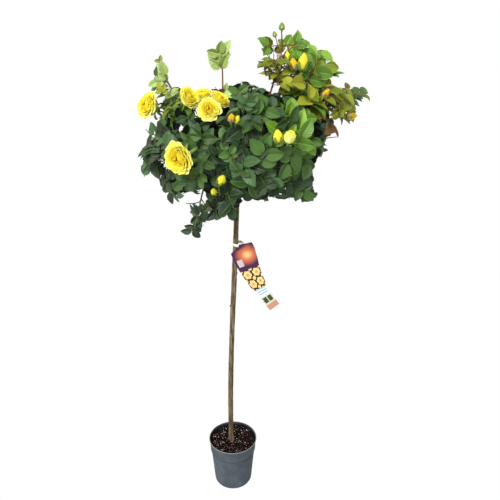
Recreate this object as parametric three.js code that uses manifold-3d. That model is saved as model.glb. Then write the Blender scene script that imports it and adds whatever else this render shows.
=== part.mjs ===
// A standard rose in its nursery pot: a bare stem with a grafted head, and a crown of leafy canes in flower.
// Millimetres, +Z up. The origin is the centre of the pot's flat underside, and the plant's front faces -Y.

import * as THREE from "three";
import { mergeVertices } from "three/addons/utils/BufferGeometryUtils.js";
import Module from "manifold-3d";

const wasm = await Module();
wasm.setup();

const vec = (x, y, z) => new THREE.Vector3(x, y, z);
const UP = vec(0, 0, 1);

// Driving dimensions
const GAP = 0.3; // clearance between neighbouring pieces
const POT = {
  rim: 85,
  foot: 66,
  height: 181,
  collar: 45,
  step: 1.6,
  wall: 2.4,
  floor: 4,
  bevel: 5,
  sides: 28,
  drains: 6,
  drainRadius: 6,
  drainRing: 46,
};
const SOIL = { level: 173, dome: 3, sides: 24 };
const STEM = { foot: 8.1, neck: 7.3, flare: 5, flareHeight: 14, headRadius: 14.5, headLength: 36, sides: 10 };
const STEM_LINE = new THREE.CubicBezierCurve3(
  vec(-5, 0, SOIL.level - 8),
  vec(-12, 5, 500),
  vec(16, -4, 800),
  vec(24, 0, 1128),
);
const HEAD = vec(24, 0, 1113); // middle of the graft union, where the canes spring from
const LIMB = { radii: [4.6, 3.7], reach: 0.4, lift: 22, bow: 0.05, sides: 5 };
const BOUGH = {
  radii: [3.2, 2.3],
  firstFork: 0.6, // shares of the limb between which its boughs fork off
  lastFork: 0.97,
  bend: 0.42, // the share of a cane at which it bends
  arch: 0.16, // how high it arches there, and how far it follows its limb, as parts of its span
  follow: 0.08,
  bare: 0.42, // the share of a cane below its leaves
  sides: 4,
};
const SHOOT = {
  leader: [3, 2.1],
  side: [2, 1.5],
  stalk: [1.8, 1.6],
  firstAt: 0.1, // shares of the leader between which side shoots spring from it
  lastAt: 0.7,
  turn: 2.39996,
  lift: 0.3,
  shorter: [1, 0.75, 0.56, 0.42],
  room: 3,
  girth: 45, // how far from its leading shoot a slim mass reaches
};
const LEAF = {
  rachis: 54,
  stalk: 1.2,
  thick: 2,
  sink: 0.4,
  sag: 0.12,
  internode: 38,
  firstAt: 0.3, // shares of a shoot between which it bears leaves
  lastAt: 0.97,
  turn: 2.513,
  turnsTried: 7,
  turnBetween: 0.9,
  sizes: [1, 0.82, 0.66],
  fewest: 2, // leaflets that a leaf needs to stay
  most: 7, // leaves of a mass
};
const LEAFLETS = [
  { at: 1, angle: 0, length: 72, width: 55 },
  { at: 0.62, angle: 1.2, length: 63, width: 47 },
  { at: 0.62, angle: -1.2, length: 63, width: 47 },
];
const ROOM = { space: 1.6, limb: 6, leaf: 10 }; // how far a leaf keeps from its space's edge, limbs, leaves
const TAG = {
  height: 934,
  loop: 17, // inside radius of the strap that hangs round the stem
  strap: 9,
  thick: 0.9,
  tilts: [0.24, 0.7], // how far it leans from upright at its top and at its end
  edges: [
    [0, -7, 34], // the length from its top, and where its left and right edges are there
    [7, -9, 36],
    [20, -38, 38],
    [58, -36.5, 36.5],
    [94, -30.5, 30.5],
    [137, -26, 26],
    [184, -20.5, 20.5],
    [238, -18.5, 18.5],
  ],
};

// The canes and the leaf masses they carry: the tip of each one's leading shoot, how far its leaves stand
// beyond that shoot's ends, and the number and length of its side shoots. Above its crest a mass is slim, and
// its leaves keep within its girth of the leading shoot.
const CANES = {
  left: [
    { name: "left_high", tip: [-183, 28, 1464], beyond: 20, shoots: 5, spread: 85, crest: 1395 },
    { name: "left_low", tip: [-196, -25, 1198], beyond: 82, shoots: 5, spread: 80 },
    { name: "left_hanging", tip: [-88, -60, 1060], beyond: 78, shoots: 4, spread: 60 },
  ],
  front_left: [
    { name: "front_left", tip: [-106, -165, 1228], beyond: 60, shoots: 5, spread: 80 },
    { name: "upper_left", tip: [-66, -66, 1335], beyond: 72, shoots: 5, spread: 80 },
  ],
  front: [
    { name: "front_high", tip: [50, -132, 1372], beyond: 60, shoots: 6, spread: 85 },
    { name: "front_low", tip: [74, -188, 1232], beyond: 72, shoots: 6, spread: 85 },
    { name: "front_hanging", tip: [-14, -158, 1122], beyond: 72, shoots: 5, spread: 70 },
  ],
  right: [
    { name: "right_front", tip: [172, -150, 1305], beyond: 60, shoots: 6, spread: 85 },
    { name: "right_low", tip: [196, -76, 1140], beyond: 74, shoots: 5, spread: 80 },
    { name: "right_middle", tip: [252, -20, 1250], beyond: 78, shoots: 5, spread: 80 },
    { name: "right_hanging", tip: [104, 30, 1092], beyond: 66, shoots: 4, spread: 60 },
  ],
  upper_right: [
    { name: "top_right", tip: [146, 0, 1550], beyond: 20, shoots: 5, spread: 85, crest: 1485 },
    { name: "right_high", tip: [262, 24, 1444], beyond: 56, shoots: 6, spread: 85 },
    { name: "far_right", tip: [350, 5, 1358], beyond: 60, shoots: 6, spread: 85 },
  ],
  back_left: [
    { name: "top_left", tip: [-22, 48, 1512], beyond: 20, shoots: 4, spread: 70, crest: 1385 },
    { name: "back_left", tip: [-142, 145, 1325], beyond: 60, shoots: 6, spread: 85 },
    { name: "back_left_low", tip: [-88, 160, 1168], beyond: 60, shoots: 5, spread: 80 },
  ],
  back_right: [
    { name: "back_high", tip: [48, 150, 1380], beyond: 60, shoots: 6, spread: 85 },
    { name: "back_right", tip: [190, 155, 1315], beyond: 60, shoots: 6, spread: 78 },
    { name: "back_right_low", tip: [130, 165, 1150], beyond: 68, shoots: 5, spread: 80 },
  ],
};

// Flowers: kind, middle, the way it faces, and its width.
const FLOWERS = [
  ["bloom", [-228, 15, 1351], [-0.65, -0.25, 0.7], 74],
  ["cup", [-105, -85, 1383], [-0.15, -0.2, 0.96], 60],
  ["bloom", [-62, 10, 1388], [-0.1, -0.1, 0.98], 70],
  ["bloom", [-39, -130, 1376], [0.05, -0.95, 0.3], 68],
  ["bloom", [-8, -40, 1374], [0.6, -0.2, 0.75], 66],
  ["bloom", [-119, -215, 1252], [-0.3, -0.93, -0.1], 90],
  ["cup", [198, -40, 1470], [0.12, -0.1, 0.98], 34],
  ["bud", [186, -45, 1462], [-0.12, -0.15, 0.98], 19],
  ["bud", [163, -30, 1488], [-0.1, 0, 1], 15],
  ["knob", [250, 20, 1480], [0.2, 0, 0.98], 16],
  ["knob", [147, 0, 1562], [0, 0, 1], 15],
  ["knob", [128, 0, 1540], [-0.35, 0, 0.93], 11],
  ["bud", [274, -25, 1384], [0.85, -0.2, 0.4], 24],
  ["bud", [344, -35, 1322], [0.95, -0.1, -0.2], 22],
  ["bud", [131, -225, 1308], [-0.1, -0.2, 0.97], 24],
  ["cup", [160, -222, 1305], [0.25, -0.3, 0.9], 31],
  ["bud", [-14, -215, 1189], [0.3, -0.5, 0.8], 21],
  ["bud", [-38, -178, 1148], [-0.2, -0.6, 0.75], 17],
  ["bud", [25, -212, 1347], [0.2, -0.4, 0.9], 18],
  ["bloom", [-150, 205, 1362], [-0.4, 0.7, 0.6], 78],
  ["bloom", [66, 222, 1335], [0.1, 0.9, 0.35], 74],
  ["cup", [14, 200, 1376], [-0.3, 0.4, 0.85], 42],
  ["bloom", [214, 215, 1330], [0.4, 0.75, 0.5], 80],
  ["bud", [252, 168, 1376], [0.5, 0.3, 0.8], 23],
  ["bud", [-108, 222, 1190], [-0.3, 0.85, 0.4], 22],
  ["cup", [148, 228, 1178], [0.2, 0.9, 0.35], 38],
];
const CLEAR_VIEW = 70; // no leaf stands within this distance in front of a flower

// Solids

/** A closed solid from a three.js geometry. */
function solid(geometry) {
  const bare = geometry.index ? geometry.toNonIndexed() : geometry.clone();
  const points = new THREE.BufferGeometry().setAttribute("position", bare.getAttribute("position"));
  const merged = mergeVertices(points, 1e-4);
  return new wasm.Manifold(
    new wasm.Mesh({
      numProp: 3,
      vertProperties: merged.attributes.position.array,
      triVerts: new Uint32Array(merged.index.array),
    }),
  );
}

/** The largest body of a solid, because a cut can leave scraps. */
function mainBody(made) {
  const bodies = made.decompose();
  return bodies.reduce((best, body) => (body.volume() > best.volume() ? body : best), bodies[0]);
}

/** A geometry from a solid. */
function geometryOf(made) {
  const mesh = made.getMesh();
  const points = new Float32Array(mesh.numVert * 3);
  for (let i = 0; i < mesh.numVert; i++) {
    points.set(mesh.vertProperties.subarray(i * mesh.numProp, i * mesh.numProp + 3), i * 3);
  }
  return new THREE.BufferGeometry()
    .setAttribute("position", new THREE.BufferAttribute(points, 3))
    .setIndex(new THREE.BufferAttribute(mesh.triVerts, 1));
}

/** Moves each vertex of a geometry by a function of its place. */
function shaped(geometry, move) {
  const place = geometry.attributes.position;
  const point = new THREE.Vector3();
  for (let i = 0; i < place.count; i++) {
    move(point.fromBufferAttribute(place, i));
    place.setXYZ(i, point.x, point.y, point.z);
  }
  return geometry;
}

/** Two directions square to a line's direction, and to each other. */
function across(along) {
  const reference = Math.abs(along.z) > 0.95 ? vec(1, 0, 0) : UP;
  const side = new THREE.Vector3().crossVectors(along, reference).normalize();
  return [side, new THREE.Vector3().crossVectors(side, along).normalize()];
}

const FULL_TURN = 2 * Math.PI;
const evenly = (from, to, steps) =>
  Array.from({ length: steps + 1 }, (_, i) => from + ((to - from) * i) / steps);
const taper = (from, to) => (share) => from + (to - from) * share;

/** A bent line of straight pieces, so that whatever grows from it starts exactly on its middle. */
class Line {
  constructor(points) {
    this.points = points;
    this.marks = [0];
    for (let i = 1; i < points.length; i++) {
      this.marks.push(this.marks[i - 1] + points[i].distanceTo(points[i - 1]));
    }
    this.length = this.marks.at(-1);
  }

  /** The stretch of a curve between two shares of its length. */
  static of(curve, from, to, steps) {
    return new Line(evenly(from, to, steps).map((share) => curve.getPointAt(share)));
  }

  piece(share) {
    const i = this.marks.findIndex((mark) => mark >= share * this.length - 1e-9);
    return Math.max(1, i < 0 ? this.points.length - 1 : i);
  }

  at(share) {
    const i = this.piece(share);
    const part = (share * this.length - this.marks[i - 1]) / (this.marks[i] - this.marks[i - 1]);
    return this.points[i - 1].clone().lerp(this.points[i], part);
  }

  along(share) {
    const i = this.piece(share);
    return this.points[i].clone().sub(this.points[i - 1]).normalize();
  }
}

const polygon = (sides) =>
  new THREE.Shape(
    evenly(0, FULL_TURN, sides)
      .slice(1)
      .map((angle) => new THREE.Vector2(Math.cos(angle), Math.sin(angle))),
  );

/** A tapering limb round a line, made longer at both ends and thicker by the given margin. */
function tube(line, radiusAt, sides, margin = 0) {
  const steps = line.points.length - 1;
  const rings = line.points.map((point, i) => {
    const before = line.points[Math.max(0, i - 1)];
    const after = line.points[Math.min(steps, i + 1)];
    const along = after.clone().sub(before).normalize();
    const push = i === 0 ? -margin : i === steps ? margin : 0;
    return {
      centre: point.clone().addScaledVector(along, push),
      across: across(along),
      radius: radiusAt(line.marks[i] / line.length) + margin,
    };
  });
  return shaped(new THREE.ExtrudeGeometry(polygon(sides), { depth: 1, steps, bevelEnabled: false }), (p) => {
    const ring = rings[Math.round(p.z * steps)];
    const [side, over] = ring.across;
    const [x, y] = [p.x * ring.radius, p.y * ring.radius];
    p.copy(ring.centre).addScaledVector(side, x).addScaledVector(over, -y);
  });
}

/** Weighted sum of directions, made one long. */
function mixed(...parts) {
  const sum = new THREE.Vector3();
  for (const [direction, weight] of parts) sum.addScaledVector(direction, weight);
  return sum.normalize();
}

/** A repeatable stream of numbers from 0 to 1. */
function seeded(seed) {
  let state = seed | 0;
  return () => {
    state = (state + 0x6d2b79f5) | 0;
    let t = Math.imul(state ^ (state >>> 15), 1 | state);
    t = (t + Math.imul(t ^ (t >>> 7), 61 | t)) ^ t;
    return ((t ^ (t >>> 14)) >>> 0) / 4294967296;
  };
}

// The pot and its soil

const wallRadius = (z) => POT.foot + ((POT.rim - POT.foot) * z) / POT.height;

function makePot() {
  const collarFoot = POT.height - POT.collar;
  const profile = [
    [0, 0],
    [POT.foot - POT.bevel, 0],
    [wallRadius(POT.bevel), POT.bevel * 1.2],
    [wallRadius(collarFoot) - POT.step, collarFoot - POT.step],
    [wallRadius(collarFoot), collarFoot],
    [POT.rim - POT.step, POT.height - 6],
    [POT.rim, POT.height - 4],
    [POT.rim, POT.height],
    [POT.rim - POT.wall, POT.height],
    [wallRadius(collarFoot) - POT.wall - POT.step, collarFoot],
    [wallRadius(POT.floor) - POT.wall - 2, POT.floor],
    [0, POT.floor],
  ].map(([r, z]) => new THREE.Vector2(r, z));
  const shell = solid(new THREE.LatheGeometry(profile, POT.sides).rotateX(Math.PI / 2));
  const drains = Array.from({ length: POT.drains }, (_, i) => {
    const angle = ((i + 0.5) * FULL_TURN) / POT.drains;
    const hole = new THREE.CylinderGeometry(POT.drainRadius, POT.drainRadius, POT.floor * 4, 10);
    hole.rotateX(Math.PI / 2);
    return solid(hole.translate(POT.drainRing * Math.cos(angle), POT.drainRing * Math.sin(angle), 0));
  });
  return drains.reduce((pot, hole) => pot.subtract(hole), shell);
}

function makeSoil() {
  const collarFoot = POT.height - POT.collar;
  const inside = (z) => wallRadius(z) - POT.wall - POT.step - 2 * GAP;
  const profile = [
    [0, POT.floor + GAP],
    [inside(POT.floor) - 3, POT.floor + GAP],
    [inside(collarFoot) - 1, collarFoot],
    [inside(SOIL.level) - 1, SOIL.level - SOIL.dome],
    [inside(SOIL.level) * 0.6, SOIL.level - SOIL.dome * 0.3],
    [STEM.foot * 2.2, SOIL.level],
    [0, SOIL.level],
  ].map(([r, z]) => new THREE.Vector2(r, z));
  return solid(new THREE.LatheGeometry(profile, SOIL.sides).rotateX(Math.PI / 2));
}

// The stem

const STEM_LENGTH = STEM_LINE.getLength();

function stemRadius(share) {
  const height = share * STEM_LENGTH;
  const fromTop = STEM_LENGTH - height;
  const flare = STEM.flare * Math.exp((8 - height) / STEM.flareHeight);
  const swell = Math.cos(Math.min(1, Math.abs(fromTop / STEM.headLength - 0.42) / 0.62) * (Math.PI / 2)) ** 2;
  return STEM.foot + (STEM.neck - STEM.foot) * share + flare + (STEM.headRadius - STEM.neck) * swell;
}

const foot = [0, 8, 14, 22, 40].map((mm) => mm / STEM_LENGTH);
const shaft = evenly(0.12, 0.9, 6);
const head = [44, 32, 20, 8, 0].map((mm) => 1 - mm / STEM_LENGTH);
const stemLine = new Line([...foot, ...shaft, ...head].map((share) => STEM_LINE.getPointAt(share)));

// The canes: a limb springs from the head for each group, and forks into a bough for each mass

const ballsAlong = (line, radiusAt) =>
  evenly(0, 1, Math.ceil(line.length / 5)).map((share) => {
    return { centre: line.at(share), radius: radiusAt(share) };
  });

function limb(line, radii, sides) {
  const radiusAt = taper(...radii);
  return {
    balls: ballsAlong(line, radiusAt),
    made: solid(tube(line, radiusAt, sides)),
    envelope: solid(tube(line, radiusAt, sides, GAP * 1.3)),
  };
}

function limbCurve(members) {
  const middle = new THREE.Vector3();
  for (const mass of members) middle.add(vec(...mass.tip).sub(HEAD));
  middle.divideScalar(members.length);
  const end = HEAD.clone().addScaledVector(middle, LIMB.reach).addScaledVector(UP, LIMB.lift);
  const bend = HEAD.clone().lerp(end, 0.5).addScaledVector(middle.clone().setZ(0), LIMB.bow);
  return new THREE.QuadraticBezierCurve3(HEAD, bend, end);
}

function caneCurve(parent, share, tip) {
  const start = parent.at(share);
  const span = tip.distanceTo(start);
  const bend = start
    .clone()
    .lerp(tip, BOUGH.bend)
    .addScaledVector(UP, BOUGH.arch * span)
    .addScaledVector(parent.along(share), BOUGH.follow * span);
  return new THREE.QuadraticBezierCurve3(start, bend, tip);
}

const stem = solid(tube(stemLine, stemRadius, STEM.sides)).trimByPlane([0, 0, 1], SOIL.level + GAP);

const limbs = new Map();
const masses = [];
for (const [group, members] of Object.entries(CANES)) {
  const line = Line.of(limbCurve(members), 0, 1, 3);
  limbs.set("limb_" + group, limb(line, LIMB.radii, LIMB.sides));
  members.forEach((member, i) => {
    const share = BOUGH.firstFork + ((BOUGH.lastFork - BOUGH.firstFork) * (i + 0.5)) / members.length;
    const cane = caneCurve(line, share, vec(...member.tip));
    const bare = Line.of(cane, 0, BOUGH.bare, 3);
    limbs.set("bough_" + member.name, limb(bare, BOUGH.radii, BOUGH.sides));
    const leader = Line.of(cane, BOUGH.bare + GAP / cane.getLength(), 1, 3);
    masses.push({ ...member, leader, seed: 101 + 17 * masses.length });
  });
}
const taken = [solid(tube(stemLine, stemRadius, STEM.sides, GAP))];
for (const piece of limbs.values()) {
  piece.made = mainBody(taken.reduce((made, envelope) => made.subtract(envelope), piece.made));
  taken.push(piece.envelope);
}
const caneBalls = [...limbs.values()].flatMap((piece) => piece.balls);
const limbBalls = [...ballsAlong(stemLine, stemRadius), ...caneBalls];

// The space of each mass: every point nearer to its own middle than to any other's

for (const mass of masses) {
  mass.middle = mass.leader.at(0.5);
  mass.reach = 0.5 * mass.leader.length + mass.beyond;
}
const crownMiddle = masses
  .reduce((sum, mass) => sum.add(mass.middle), new THREE.Vector3())
  .divideScalar(masses.length);

const isSlim = (point, mass) => point.z > (mass.crest ?? Infinity);

const nearLeader = (point, mass) =>
  evenly(0, 1, 12).some((share) => point.distanceTo(mass.leader.at(share)) < SHOOT.girth);

const inSpace = (point, mass, margin) =>
  point.distanceTo(mass.middle) < mass.reach &&
  (!isSlim(point, mass) || nearLeader(point, mass)) &&
  masses.every((other) => {
    if (other === mass) return true;
    const nearer = point.distanceToSquared(other.middle) - point.distanceToSquared(mass.middle);
    return nearer / (2 * other.middle.distanceTo(mass.middle)) > margin;
  });

const clearOfLimbs = (point, margin) =>
  limbBalls.every((ball) => point.distanceTo(ball.centre) > ball.radius + margin);

// Flowers, each on the mass whose space it is in

const flowers = FLOWERS.map(([kind, middle, facing, width]) => {
  const centre = vec(...middle);
  const mass = masses.reduce((best, m) =>
    centre.distanceTo(m.middle) < centre.distanceTo(best.middle) ? m : best,
  );
  return { kind, centre, facing: vec(...facing).normalize(), width, mass };
});

const clearOfFlowers = (point) =>
  flowers.every((flower) => {
    const ahead = point.clone().sub(flower.centre).dot(flower.facing);
    const seen = Math.max(0, Math.min(CLEAR_VIEW, ahead));
    const nearest = flower.centre.clone().addScaledVector(flower.facing, seen);
    return point.distanceTo(nearest) > 0.5 * flower.width + 3;
  });

const PETAL_PROFILE = [
  [0, -0.44],
  [0.84, -0.16],
  [1, 0.22],
  [0.78, 0.3],
  [0.46, 0.12],
  [0.3, 0.32],
  [0, 0.26],
];

/** A flower's solid, facing +Z round the origin: a double bloom, or a pointed bud. */
function flowerSolid(kind, width) {
  const half = width / 2;
  if (kind === "bloom") {
    const profile = PETAL_PROFILE.map(([r, z]) => new THREE.Vector2(r * half, z * half * 1.3));
    return solid(new THREE.LatheGeometry(profile, 8).rotateX(Math.PI / 2));
  }
  const tall = kind === "cup" ? 0.85 : 1.25;
  return solid(new THREE.SphereGeometry(half, 6, 3).rotateX(Math.PI / 2).scale(1, 1, tall));
}

function turned(facing, centre) {
  const turn = new THREE.Quaternion().setFromUnitVectors(UP, facing);
  return new THREE.Matrix4().compose(centre, turn, vec(1, 1, 1));
}

const placed = (made, matrix) => made.transform(matrix.elements);

// Twigs and leaves

const bent = (from, heading, length, lift) =>
  new THREE.QuadraticBezierCurve3(
    from,
    from.clone().addScaledVector(heading, 0.5 * length),
    from.clone().addScaledVector(mixed([heading, 1], [UP, lift]), length),
  );

const shootFits = (line, mass) =>
  [0.3, 0.55, 0.8, 1].every((share) => {
    const point = line.at(share);
    return inSpace(point, mass, SHOOT.room) && clearOfLimbs(point, SHOOT.room) && clearOfFlowers(point);
  });

/** Side shoots spiral round the leader. One that doesn't fit is shortened, and then skipped. */
function sideShoots(mass, random) {
  const found = [];
  for (let i = 0; i < mass.shoots; i++) {
    const share = SHOOT.firstAt + ((SHOOT.lastAt - SHOOT.firstAt) * (i + 0.5)) / mass.shoots;
    const along = mass.leader.along(share);
    const [side, over] = across(along);
    const turn = i * SHOOT.turn + FULL_TURN * random();
    const out = side.clone().multiplyScalar(Math.cos(turn)).addScaledVector(over, Math.sin(turn));
    const from = mass.leader.at(share);
    const outward = from.clone().sub(crownMiddle).normalize();
    const heading = mixed([along, 0.4], [out, 0.85], [outward, 0.35]);
    const length = mass.spread * (1.1 - 0.45 * share) * (0.85 + 0.3 * random());
    const line = SHOOT.shorter
      .map((part) => Line.of(bent(from, heading, length * part, SHOOT.lift), 0, 1, 1))
      .find((tried) => shootFits(tried, mass));
    if (line) found.push({ line, radii: SHOOT.side });
  }
  return found;
}

/** The stalk from the leader up to a flower. */
function flowerStalk(flower) {
  const base = flower.centre.clone().addScaledVector(flower.facing, -0.12 * flower.width);
  const from = evenly(0.06, 0.97, 12)
    .map((share) => flower.mass.leader.at(share))
    .reduce((best, point) => {
      const cost = (p) => Math.abs(p.distanceTo(base) - 60) + 0.5 * (p.z - base.z);
      return cost(point) < cost(best) ? point : best;
    });
  const bend = base.clone().addScaledVector(flower.facing, -0.45 * from.distanceTo(base));
  const line = Line.of(new THREE.QuadraticBezierCurve3(from, bend, base), 0, 1, 2);
  return { line, radii: SHOOT.stalk };
}

/** Where the leaflets of one leaf go: a place and three directions for each. */
function leafletPlaces(root, heading, normal, size) {
  const side = new THREE.Vector3().crossVectors(heading, normal).normalize();
  return LEAFLETS.map(({ at, angle, length, width }) => {
    const along = mixed([heading, Math.cos(angle)], [side, Math.sin(angle)]);
    const over = new THREE.Vector3().crossVectors(along, normal);
    const from = root.clone().addScaledVector(heading, at * LEAF.rachis * size);
    const matrix = new THREE.Matrix4().makeBasis(over, along, normal).setPosition(from);
    return { matrix, at, length: length * size, width: width * size };
  });
}

/** Points spread over a leaflet, for the tests of its place. */
function leafletPoints({ matrix, length, width }) {
  const points = [];
  for (const [y, half] of [[0.2, 0.6], [0.45, 1], [0.75, 0.55], [1, 0]]) {
    for (const x of half ? [-half, 0, half] : [0]) {
      points.push(vec((x * width) / 2, y * length, 0).applyMatrix4(matrix));
    }
  }
  return points;
}

const leafletFits = (points, mass, others) =>
  points.every(
    (point) =>
      inSpace(point, mass, ROOM.space) &&
      clearOfLimbs(point, ROOM.limb) &&
      clearOfFlowers(point) &&
      others.every((other) => point.distanceToSquared(other) > ROOM.leaf ** 2),
  );

/** A pointed blade with a keel under it, sagging to its tip. */
function leafletSolid({ matrix, length, width }) {
  const profile = [[0, -1], [1, 0], [0, 1]].map(([r, y]) => new THREE.Vector2(r, y));
  const edge = Math.sin(Math.PI / 3);
  const blade = shaped(new THREE.LatheGeometry(profile, 3), (p) => {
    const tip = Math.max(0, p.y);
    const root = Math.max(0, -p.y);
    const middle = 1 - tip - root;
    const x = (-0.5 * width * p.x) / edge;
    const z = LEAF.thick * (0.5 * middle - p.z) * 0.66 - LEAF.sag * length * tip;
    p.set(x, length * tip + 0.45 * length * middle - LEAF.sink * root, z);
  });
  return solid(blade.applyMatrix4(matrix));
}

const pointsAlong = (line) => evenly(0, 1, Math.ceil(line.length / 7)).map((share) => line.at(share));

/** A leaf at one place on a shoot, with those of its leaflets that fit. */
function leafAt(root, along, turn, size, tilt, mass, others) {
  const [side, over] = across(along);
  const out = side.clone().multiplyScalar(Math.cos(turn)).addScaledVector(over, Math.sin(turn));
  const outward = root.clone().sub(crownMiddle).normalize();
  const light = mixed([outward, 0.7], [UP, 0.45], [tilt, 0.55]);
  const way = mixed([along, isSlim(root, mass) ? 1.3 : 0.3], [out, 0.8]);
  const heading = mixed([way, 1], [light, 0.3 - way.dot(light)]);
  const normal = mixed([light, 1], [heading, -light.dot(heading)]);
  const leaflets = leafletPlaces(root, heading, normal, size)
    .map((leaflet) => ({ ...leaflet, points: leafletPoints(leaflet) }))
    .filter((leaflet) => leafletFits(leaflet.points, mass, others));
  return { root, heading, size, leaflets };
}

/** Places for leaves all along the shoots of a mass, in a shuffled order. */
function leafSites(shoots, random) {
  const sites = shoots.flatMap((shoot) => {
    const count = Math.max(2, Math.round(shoot.line.length / LEAF.internode));
    const first = FULL_TURN * random();
    return evenly(LEAF.firstAt, LEAF.lastAt, count - 1).map((share, i) => {
      return { shoot, share, turn: first + i * LEAF.turn, key: random() };
    });
  });
  return sites.sort((a, b) => a.key - b.key);
}

/** A mass's leaves. Each takes the turn and the size at which most of its leaflets fit, or is skipped. */
function growLeaves(shoots, mass, random, others) {
  const found = [];
  for (const { shoot, share, turn } of leafSites(shoots, random)) {
    if (found.length === LEAF.most) break;
    const root = shoot.line.at(share);
    const full = 0.86 + 0.2 * random();
    const tilt = vec(random() - 0.5, random() - 0.5, random() - 0.5).normalize();
    let best = { leaflets: [] };
    for (const size of LEAF.sizes) {
      for (let tries = 0; tries < LEAF.turnsTried && best.leaflets.length < LEAFLETS.length; tries++) {
        const way = turn + LEAF.turnBetween * tries;
        const leaf = leafAt(root, shoot.line.along(share), way, full * size, tilt, mass, others);
        if (leaf.leaflets.length > best.leaflets.length) best = leaf;
      }
    }
    if (best.leaflets.length >= LEAF.fewest) {
      found.push({ ...best, shoot });
      others.push(...best.leaflets.flatMap((leaflet) => leaflet.points), ...pointsAlong(leafStalk(best)));
    }
  }
  return found;
}

function leafStalk({ root, heading, size, leaflets }) {
  const reach = LEAF.rachis * size * Math.max(...leaflets.map((leaflet) => leaflet.at)) + 0.7;
  return new Line([root, root.clone().addScaledVector(heading, reach)]);
}

const leafSolids = (leaf) => [
  solid(tube(leafStalk(leaf), () => LEAF.stalk, 3)),
  ...leaf.leaflets.map(leafletSolid),
];

function makeMass(mass) {
  const random = seeded(mass.seed);
  const own = flowers.filter((flower) => flower.mass === mass);
  const leader = { line: mass.leader, radii: SHOOT.leader };
  const stalks = own.map(flowerStalk);
  const shoots = [leader, ...sideShoots(mass, random)];
  const others = [...shoots, ...stalks].flatMap(({ line }) => pointsAlong(line));
  const leaves = growLeaves(shoots, mass, random, others);
  const bearing = shoots.filter((shoot) => shoot === leader || leaves.some((leaf) => leaf.shoot === shoot));
  const twigs = [...bearing, ...stalks].map(({ line, radii }) => solid(tube(line, taper(...radii), 3)));
  const petals = own.map((flower) =>
    placed(flowerSolid(flower.kind, flower.width), turned(flower.facing, flower.centre)),
  );
  return mainBody(wasm.Manifold.union([...twigs, ...petals, ...leaves.flatMap(leafSolids)])).simplify(0.03);
}

// The hanging tag, on a strap round the stem

/** A point of the tag's outline, at a length down its curved middle line and a distance across it. */
function tagPoint(length, across) {
  const [first, last] = TAG.tilts;
  const radius = TAG.edges.at(-1)[0] / (last - first);
  const turn = first + length / radius;
  const x = radius * (Math.cos(first) - Math.cos(turn)) + across * Math.cos(turn);
  const z = radius * (Math.sin(first) - Math.sin(turn)) + across * Math.sin(turn);
  return new THREE.Vector2(x, z);
}

function makeTag() {
  const share = (TAG.height - SOIL.level) / (STEM_LINE.getPoint(1).z - SOIL.level);
  const slack = TAG.loop - stemRadius(share) - 2 * GAP;
  const centre = stemLine.at(share).add(vec(slack, 0, 0));
  const ring = [
    [TAG.loop, -TAG.strap / 2],
    [TAG.loop + TAG.thick, -TAG.strap / 2],
    [TAG.loop + TAG.thick, TAG.strap / 2],
    [TAG.loop, TAG.strap / 2],
    [TAG.loop, -TAG.strap / 2],
  ].map(([r, z]) => new THREE.Vector2(r, z));
  const strap = new THREE.LatheGeometry(ring, 16);
  strap.rotateX(Math.PI / 2).translate(centre.x, centre.y, centre.z);
  const right = TAG.edges.map(([length, , edge]) => tagPoint(length, edge));
  const left = TAG.edges.map(([length, edge]) => tagPoint(length, edge)).toReversed();
  const outline = new THREE.Shape([...right, ...left]);
  const card = new THREE.ExtrudeGeometry(outline, { depth: TAG.thick, bevelEnabled: false });
  card.rotateX(Math.PI / 2).translate(centre.x + slack, centre.y - TAG.loop, centre.z + TAG.strap / 2);
  return solid(strap).add(solid(card));
}

// The object

const finish = (color, roughness) => new THREE.MeshStandardMaterial({ color, roughness, metalness: 0 });
const plastic = finish(0x596269, 0.6);
const earth = finish(0x2a1d18, 0.95);
const bark = finish(0x7a6a52, 0.85);
const cane = finish(0x6b5a3c, 0.7);
const foliage = finish(0x2f5a37, 0.5);
const printed = finish(0xe8d9b0, 0.5);

const rose = new THREE.Group();

function addPiece(name, made, material) {
  const mesh = new THREE.Mesh(geometryOf(made), material);
  mesh.name = name;
  rose.add(mesh);
}

addPiece("pot", makePot(), plastic);
addPiece("soil", makeSoil(), earth);
addPiece("stem", stem, bark);
addPiece("tag", makeTag(), printed);
for (const [name, piece] of limbs) addPiece(name, piece.made, cane);
for (const mass of masses) addPiece("leaves_" + mass.name, makeMass(mass), foliage);

export default rose;
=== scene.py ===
"""Looks for a standard rose in its nursery pot.

Every length is in metres. The pot's flat underside is at Z = 0 with its axis on the Z axis, and the plant's
front faces -Y. The crown grows by the same rule as the solids do, carried to finer twigs and smaller leaves.
"""

from __future__ import annotations

import logging
import math
from dataclasses import dataclass
from enum import Enum, IntEnum
from typing import Callable, NamedTuple, Sequence

import bpy
import numpy as np
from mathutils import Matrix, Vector, noise


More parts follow.
